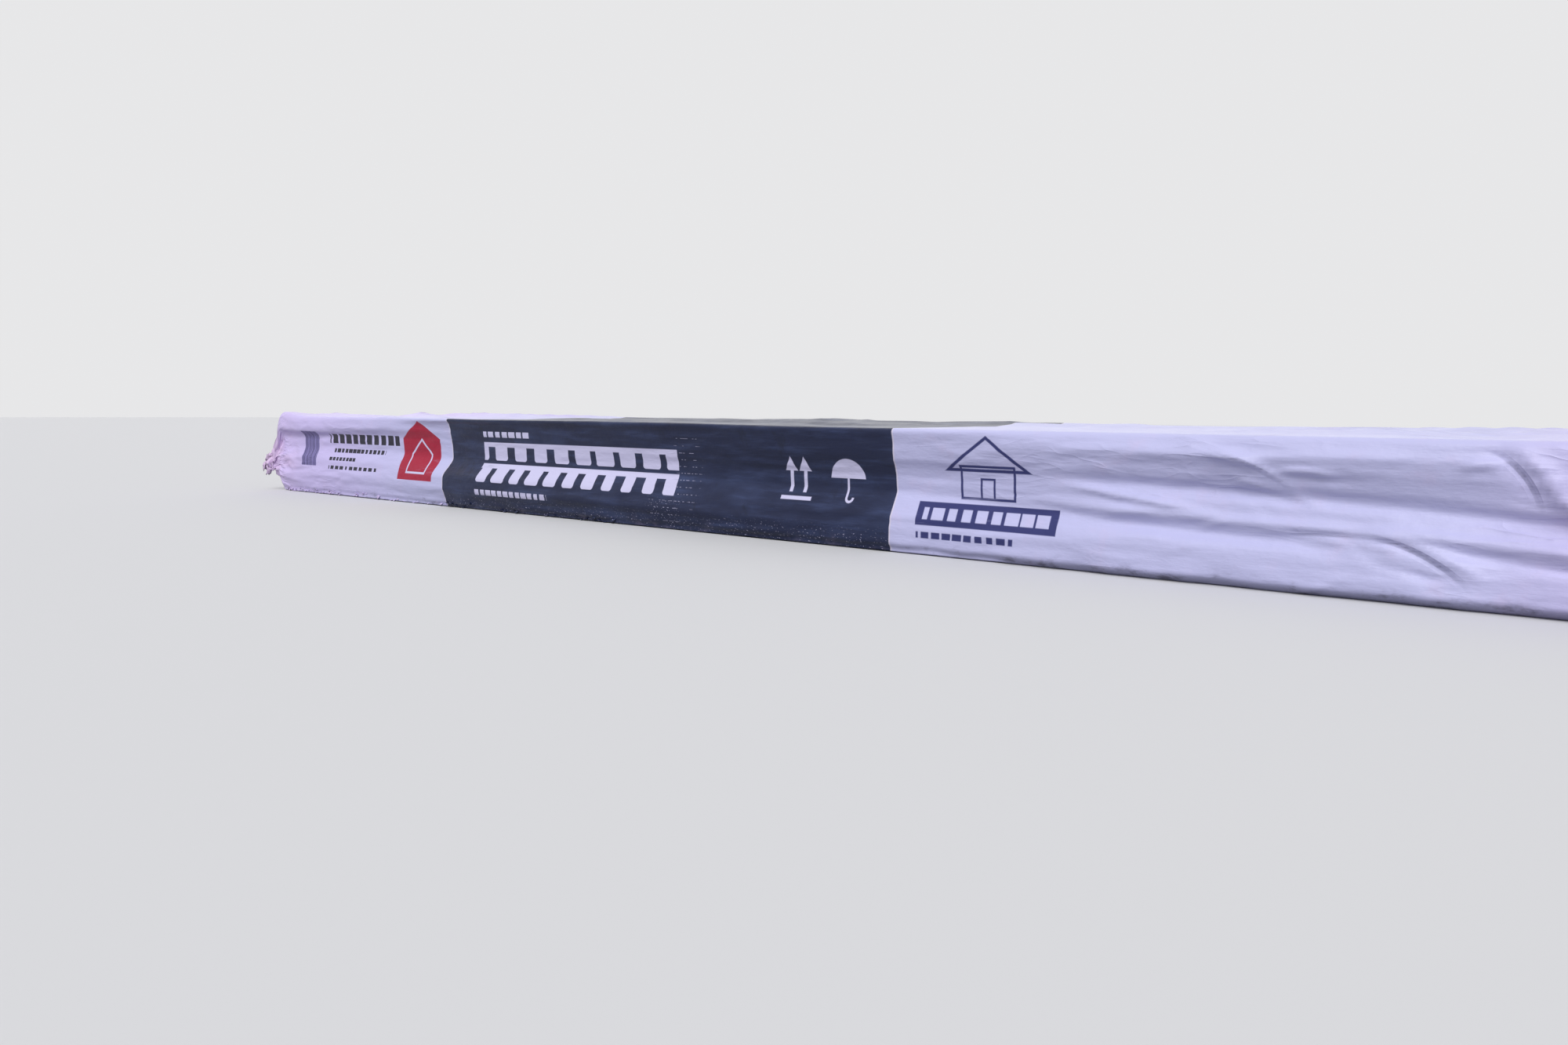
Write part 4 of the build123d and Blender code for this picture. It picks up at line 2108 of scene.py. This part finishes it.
FRONT_PROFILES = (
    Profile(0.0, (
        (0.0, -4.0), (0.08, -1.2), (0.25, -0.3), (0.45, -1.6), (0.62, -4.6),
        (0.72, -4.6), (0.81, 1.2), (0.90, 0.4), (1, -2.2),
    )),
    Profile(0.16, (
        (0.0, -6.0), (0.08, -1.8), (0.26, -0.3), (0.42, -2.4),
        (0.60, -7.2), (0.76, -6.6), (0.87, -2.6), (1, -3.2),
    )),
    Profile(0.28, (
        (0.0, -6.5), (0.06, -1.2), (0.22, 2.4), (0.33, 2.0), (0.56, -9.0), (0.90, -8.0), (1, -2.4),
    )),
    Profile(0.69, (
        (0.0, -5.9), (0.08, -0.6), (0.19, -0.7), (0.41, -9.0), (0.60, -8.0), (0.85, -2.9), (1, -1.4),
    )),
    Profile(0.80, (
        (0.0, -1.6), (0.07, 2.2), (0.24, 1.1), (0.44, -3.4), (0.62, -3.2), (0.85, 0.2), (1, -1.2),
    )),
    Profile(0.945, (
        (0.0, -1.2), (0.07, 2.8), (0.26, 1.4), (0.46, -2.4), (0.62, -2.4), (0.85, 0.5), (1, -1.0),
    )),
    Profile(0.985, (
        (0.0, -1.2), (0.07, 3.0), (0.26, 1.6), (0.46, 0.0), (0.62, 1.6), (0.85, 0.8), (1, -1.0),
    )),
)

BACK_PROFILES = (
    Profile(0.0, ((0.0, -4.0), (0.25, -6.0), (0.50, -1.0), (0.66, -0.3), (0.90, -1.6), (1, -2.0))),
    Profile(0.50, (
        (0.0, -6.0), (0.20, -8.2), (0.36, -5.5), (0.52, -0.6), (0.70, -0.4), (0.92, -3.0), (1, -2.4),
    )),
    Profile(1.03, ((0.0, -4.0), (0.22, -6.5), (0.46, -1.4), (0.62, -0.4), (0.88, -1.8), (1, -2.0))),
)

BACK_FOLDS = (
    Fold(((-6, 30), (60, 38), (210, 44)), 3.0, 1.6, Crest.FIRM, 0.4, (0.05, 0.6)),
    Fold(((-6, 24), (70, 22), (260, 26)), 3.0, -1.4, Crest.SOFT, fade=(0.05, 0.6)),
    Fold(((-4, 40), (30, 52), (90, 60)), 2.2, -1.2, Crest.FIRM, fade=(0.05, 0.6)),
    Fold(((120, 56), (300, 60), (520, 58)), 3.2, 1.1),
    Fold(((330, 30), (520, 34), (700, 31)), 3.0, 0.8),
    Fold(((500, 12), (700, 15), (860, 10)), 3.4, 1.2),
    Fold(((700, 50), (840, 46), (1040, 38)), 3.2, -1.6, Crest.SOFT, fade=(0.4, 0.0)),
    Fold(((720, 38), (860, 33), (1040, 28)), 3.0, 1.6, Crest.SOFT, fade=(0.4, 0.0)),
    Fold(((1018, 34), (975, 44), (930, 58)), 1.8, 1.1, Crest.FIRM, fade=(0.05, 0.7)),
    Fold(((1018, 26), (985, 16), (940, 6)), 1.8, -1.1, Crest.FIRM, fade=(0.05, 0.7)),
)

FRONT_CRINKLES = (
    Crinkles((6, 4), (150, 64), 34, (12, 40), (0.9, 1.5), 0.55, 26, 4),
    Crinkles((150, 4), (700, 64), 56, (30, 90), (1.2, 2.4), 0.60, 9, 5),
    Crinkles((700, 4), (1020, 66), 70, (14, 60), (1.0, 1.8), 0.75, 14, 6),
)
BACK_CRINKLES = (Crinkles((6, 4), (1020, 64), 60, (20, 80), (1.6, 2.6), 0.7, 16, 7),)
TOP_CRINKLES = (Crinkles((10, 12), (1020, 336), 70, (40, 170), (6.0, 8.5), 1.5, 22, 8),)


def select_only(piece: bpy.types.Object) -> None:
    """Deselects everything else and makes a piece the selected, active one.

    Args:
        piece: the piece.
    """
    for other in bpy.context.view_layer.objects:
        other.select_set(False)
    piece.select_set(True)
    bpy.context.view_layer.objects.active = piece


@dataclass
class ShingleStack:
    """The shingles, which keep their CAD solids."""

    names: tuple[str, ...]

    def dress(self, finish: Granules) -> list[bpy.types.Object]:
        """Gives every shingle the granule finish.

        Args:
            finish: the finish.

        Returns:
            The shingles.
        """
        material = finish.build()
        pieces = []
        for name in self.names:
            piece = frame["nodes"][name]
            piece.data.materials.clear()
            piece.data.materials.append(material)
            pieces.append(piece)
        return pieces


@dataclass(frozen=True)
class Lamp:
    """A far, wide, soft lamp that lights the whole floor alike."""

    name: str
    source: tuple[float, float, float]
    spread: float
    power: float

    def hang(self) -> bpy.types.Object:
        """Hangs the lamp and turns it to the bundle.

        Returns:
            The lamp.
        """
        bpy.ops.object.light_add(type="SUN", location=self.source)
        lamp = bpy.context.active_object
        lamp.name = self.name
        lamp.data.angle = math.radians(self.spread)
        lamp.data.energy = self.power
        lamp.rotation_euler = (-Vector(self.source)).to_track_quat("-Z", "Y").to_euler()
        return lamp


@dataclass
class Studio:
    """Floor, light and camera."""

    eye: tuple[float, float, float] = (0.4543, -0.6657, 0.0773)
    forward: tuple[float, float, float] = (-0.60017, 0.79279, -0.10620)
    upward: tuple[float, float, float] = (-0.07097, 0.07947, 0.99431)
    lens: float = 24.0
    sensor: float = 36.0
    sharp: tuple[float, float] = (0.01, 50.0)
    floor_size: float = 14.0
    sky: Colour = (0.80, 0.81, 0.84)
    sky_strength: float = 0.50
    backdrop: Colour = (0.80, 0.80, 0.81)
    lamps: tuple[Lamp, ...] = (
        Lamp("key", (0.50, -1.00, 0.98), 45.0, 2.5),
        Lamp("fill", (-0.8, 0.8, 0.45), 90.0, 0.8),
    )

    def floor(self, finish: Backdrop) -> bpy.types.Object:
        """Lays the floor under the bundle.

        Args:
            finish: its finish.

        Returns:
            The floor.
        """
        bpy.ops.mesh.primitive_plane_add(size=self.floor_size, location=(0, 0, 0))
        plane = bpy.context.active_object
        plane.name = "floor"
        plane.data.materials.append(finish.build())
        return plane

    def world(self) -> None:
        """Soft light from all round, with a pale backdrop where the camera looks past the floor."""
        world = bpy.data.worlds.new("studio")
        bpy.context.scene.world = world
        graph = Graph(world, "ShaderNodeOutputWorld")
        sky = {"Color": (*self.sky, 1.0), "Strength": self.sky_strength}
        light = graph.raw("ShaderNodeBackground", {}, sky).outputs[0]
        shown = graph.raw("ShaderNodeBackground", {}, {"Color": (*self.backdrop, 1.0)}).outputs[0]
        choice = graph.raw("ShaderNodeMixShader", {}, {0: graph.seen(), 1: light, 2: shown})
        graph.tree.links.new(choice.outputs[0], graph.output.inputs["Surface"])

    def camera(self) -> bpy.types.Object:
        """Sets the camera up where the photograph was taken from.

        Returns:
            The camera.
        """
        bpy.ops.object.camera_add(location=self.eye)
        camera = bpy.context.active_object
        camera.data.lens = self.lens
        camera.data.sensor_width = self.sensor
        camera.data.clip_start, camera.data.clip_end = self.sharp
        back, up = -Vector(self.forward).normalized(), Vector(self.upward)
        right = up.cross(back).normalized()
        camera.rotation_euler = Matrix((right, back.cross(right), back)).transposed().to_euler()
        bpy.context.scene.camera = camera
        return camera

    def build(self) -> None:
        """Makes all of it."""
        self.camera()
        self.floor(Backdrop())
        self.world()
        for lamp in self.lamps:
            lamp.hang()
        bpy.context.scene.view_settings.view_transform = "Standard"


def main() -> None:
    """Builds the classes in order and reports each piece."""
    logging.basicConfig(level=logging.INFO, format="%(name)s: %(message)s")
    Studio().build()
    stack = ShingleStack(tuple(sorted(name for name in frame["nodes"] if name.startswith("shingle_"))))
    for piece in stack.dress(Granules()):
        log.info("%s keeps its solid", piece.name)
    low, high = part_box("wrapper")
    height = high.z - low.z
    front_folds = LEFT_END_FOLDS + PANEL_FOLDS + RIGHT_THIRD_FOLDS + strewn(FRONT_CRINKLES)
    wrapper = Wrapper(
        length=high.x - low.x,
        height=height,
        edges=StackEdges(tuple(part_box(name) for name in stack.names)),
        front=LongSide(height, FRONT_PROFILES, front_folds),
        back=LongSide(height, BACK_PROFILES, BACK_FOLDS + strewn(BACK_CRINKLES)),
        top=TopForm(TOP_FOLDS + strewn(TOP_CRINKLES)),
        sag=CutoutSag(frame["nodes"][stack.names[-1]]),
    )
    piece = wrapper.dress(PrintedFilm())
    log.info("%s has %d faces", piece.name, len(piece.data.polygons))


if __name__ == "__main__":
    main()
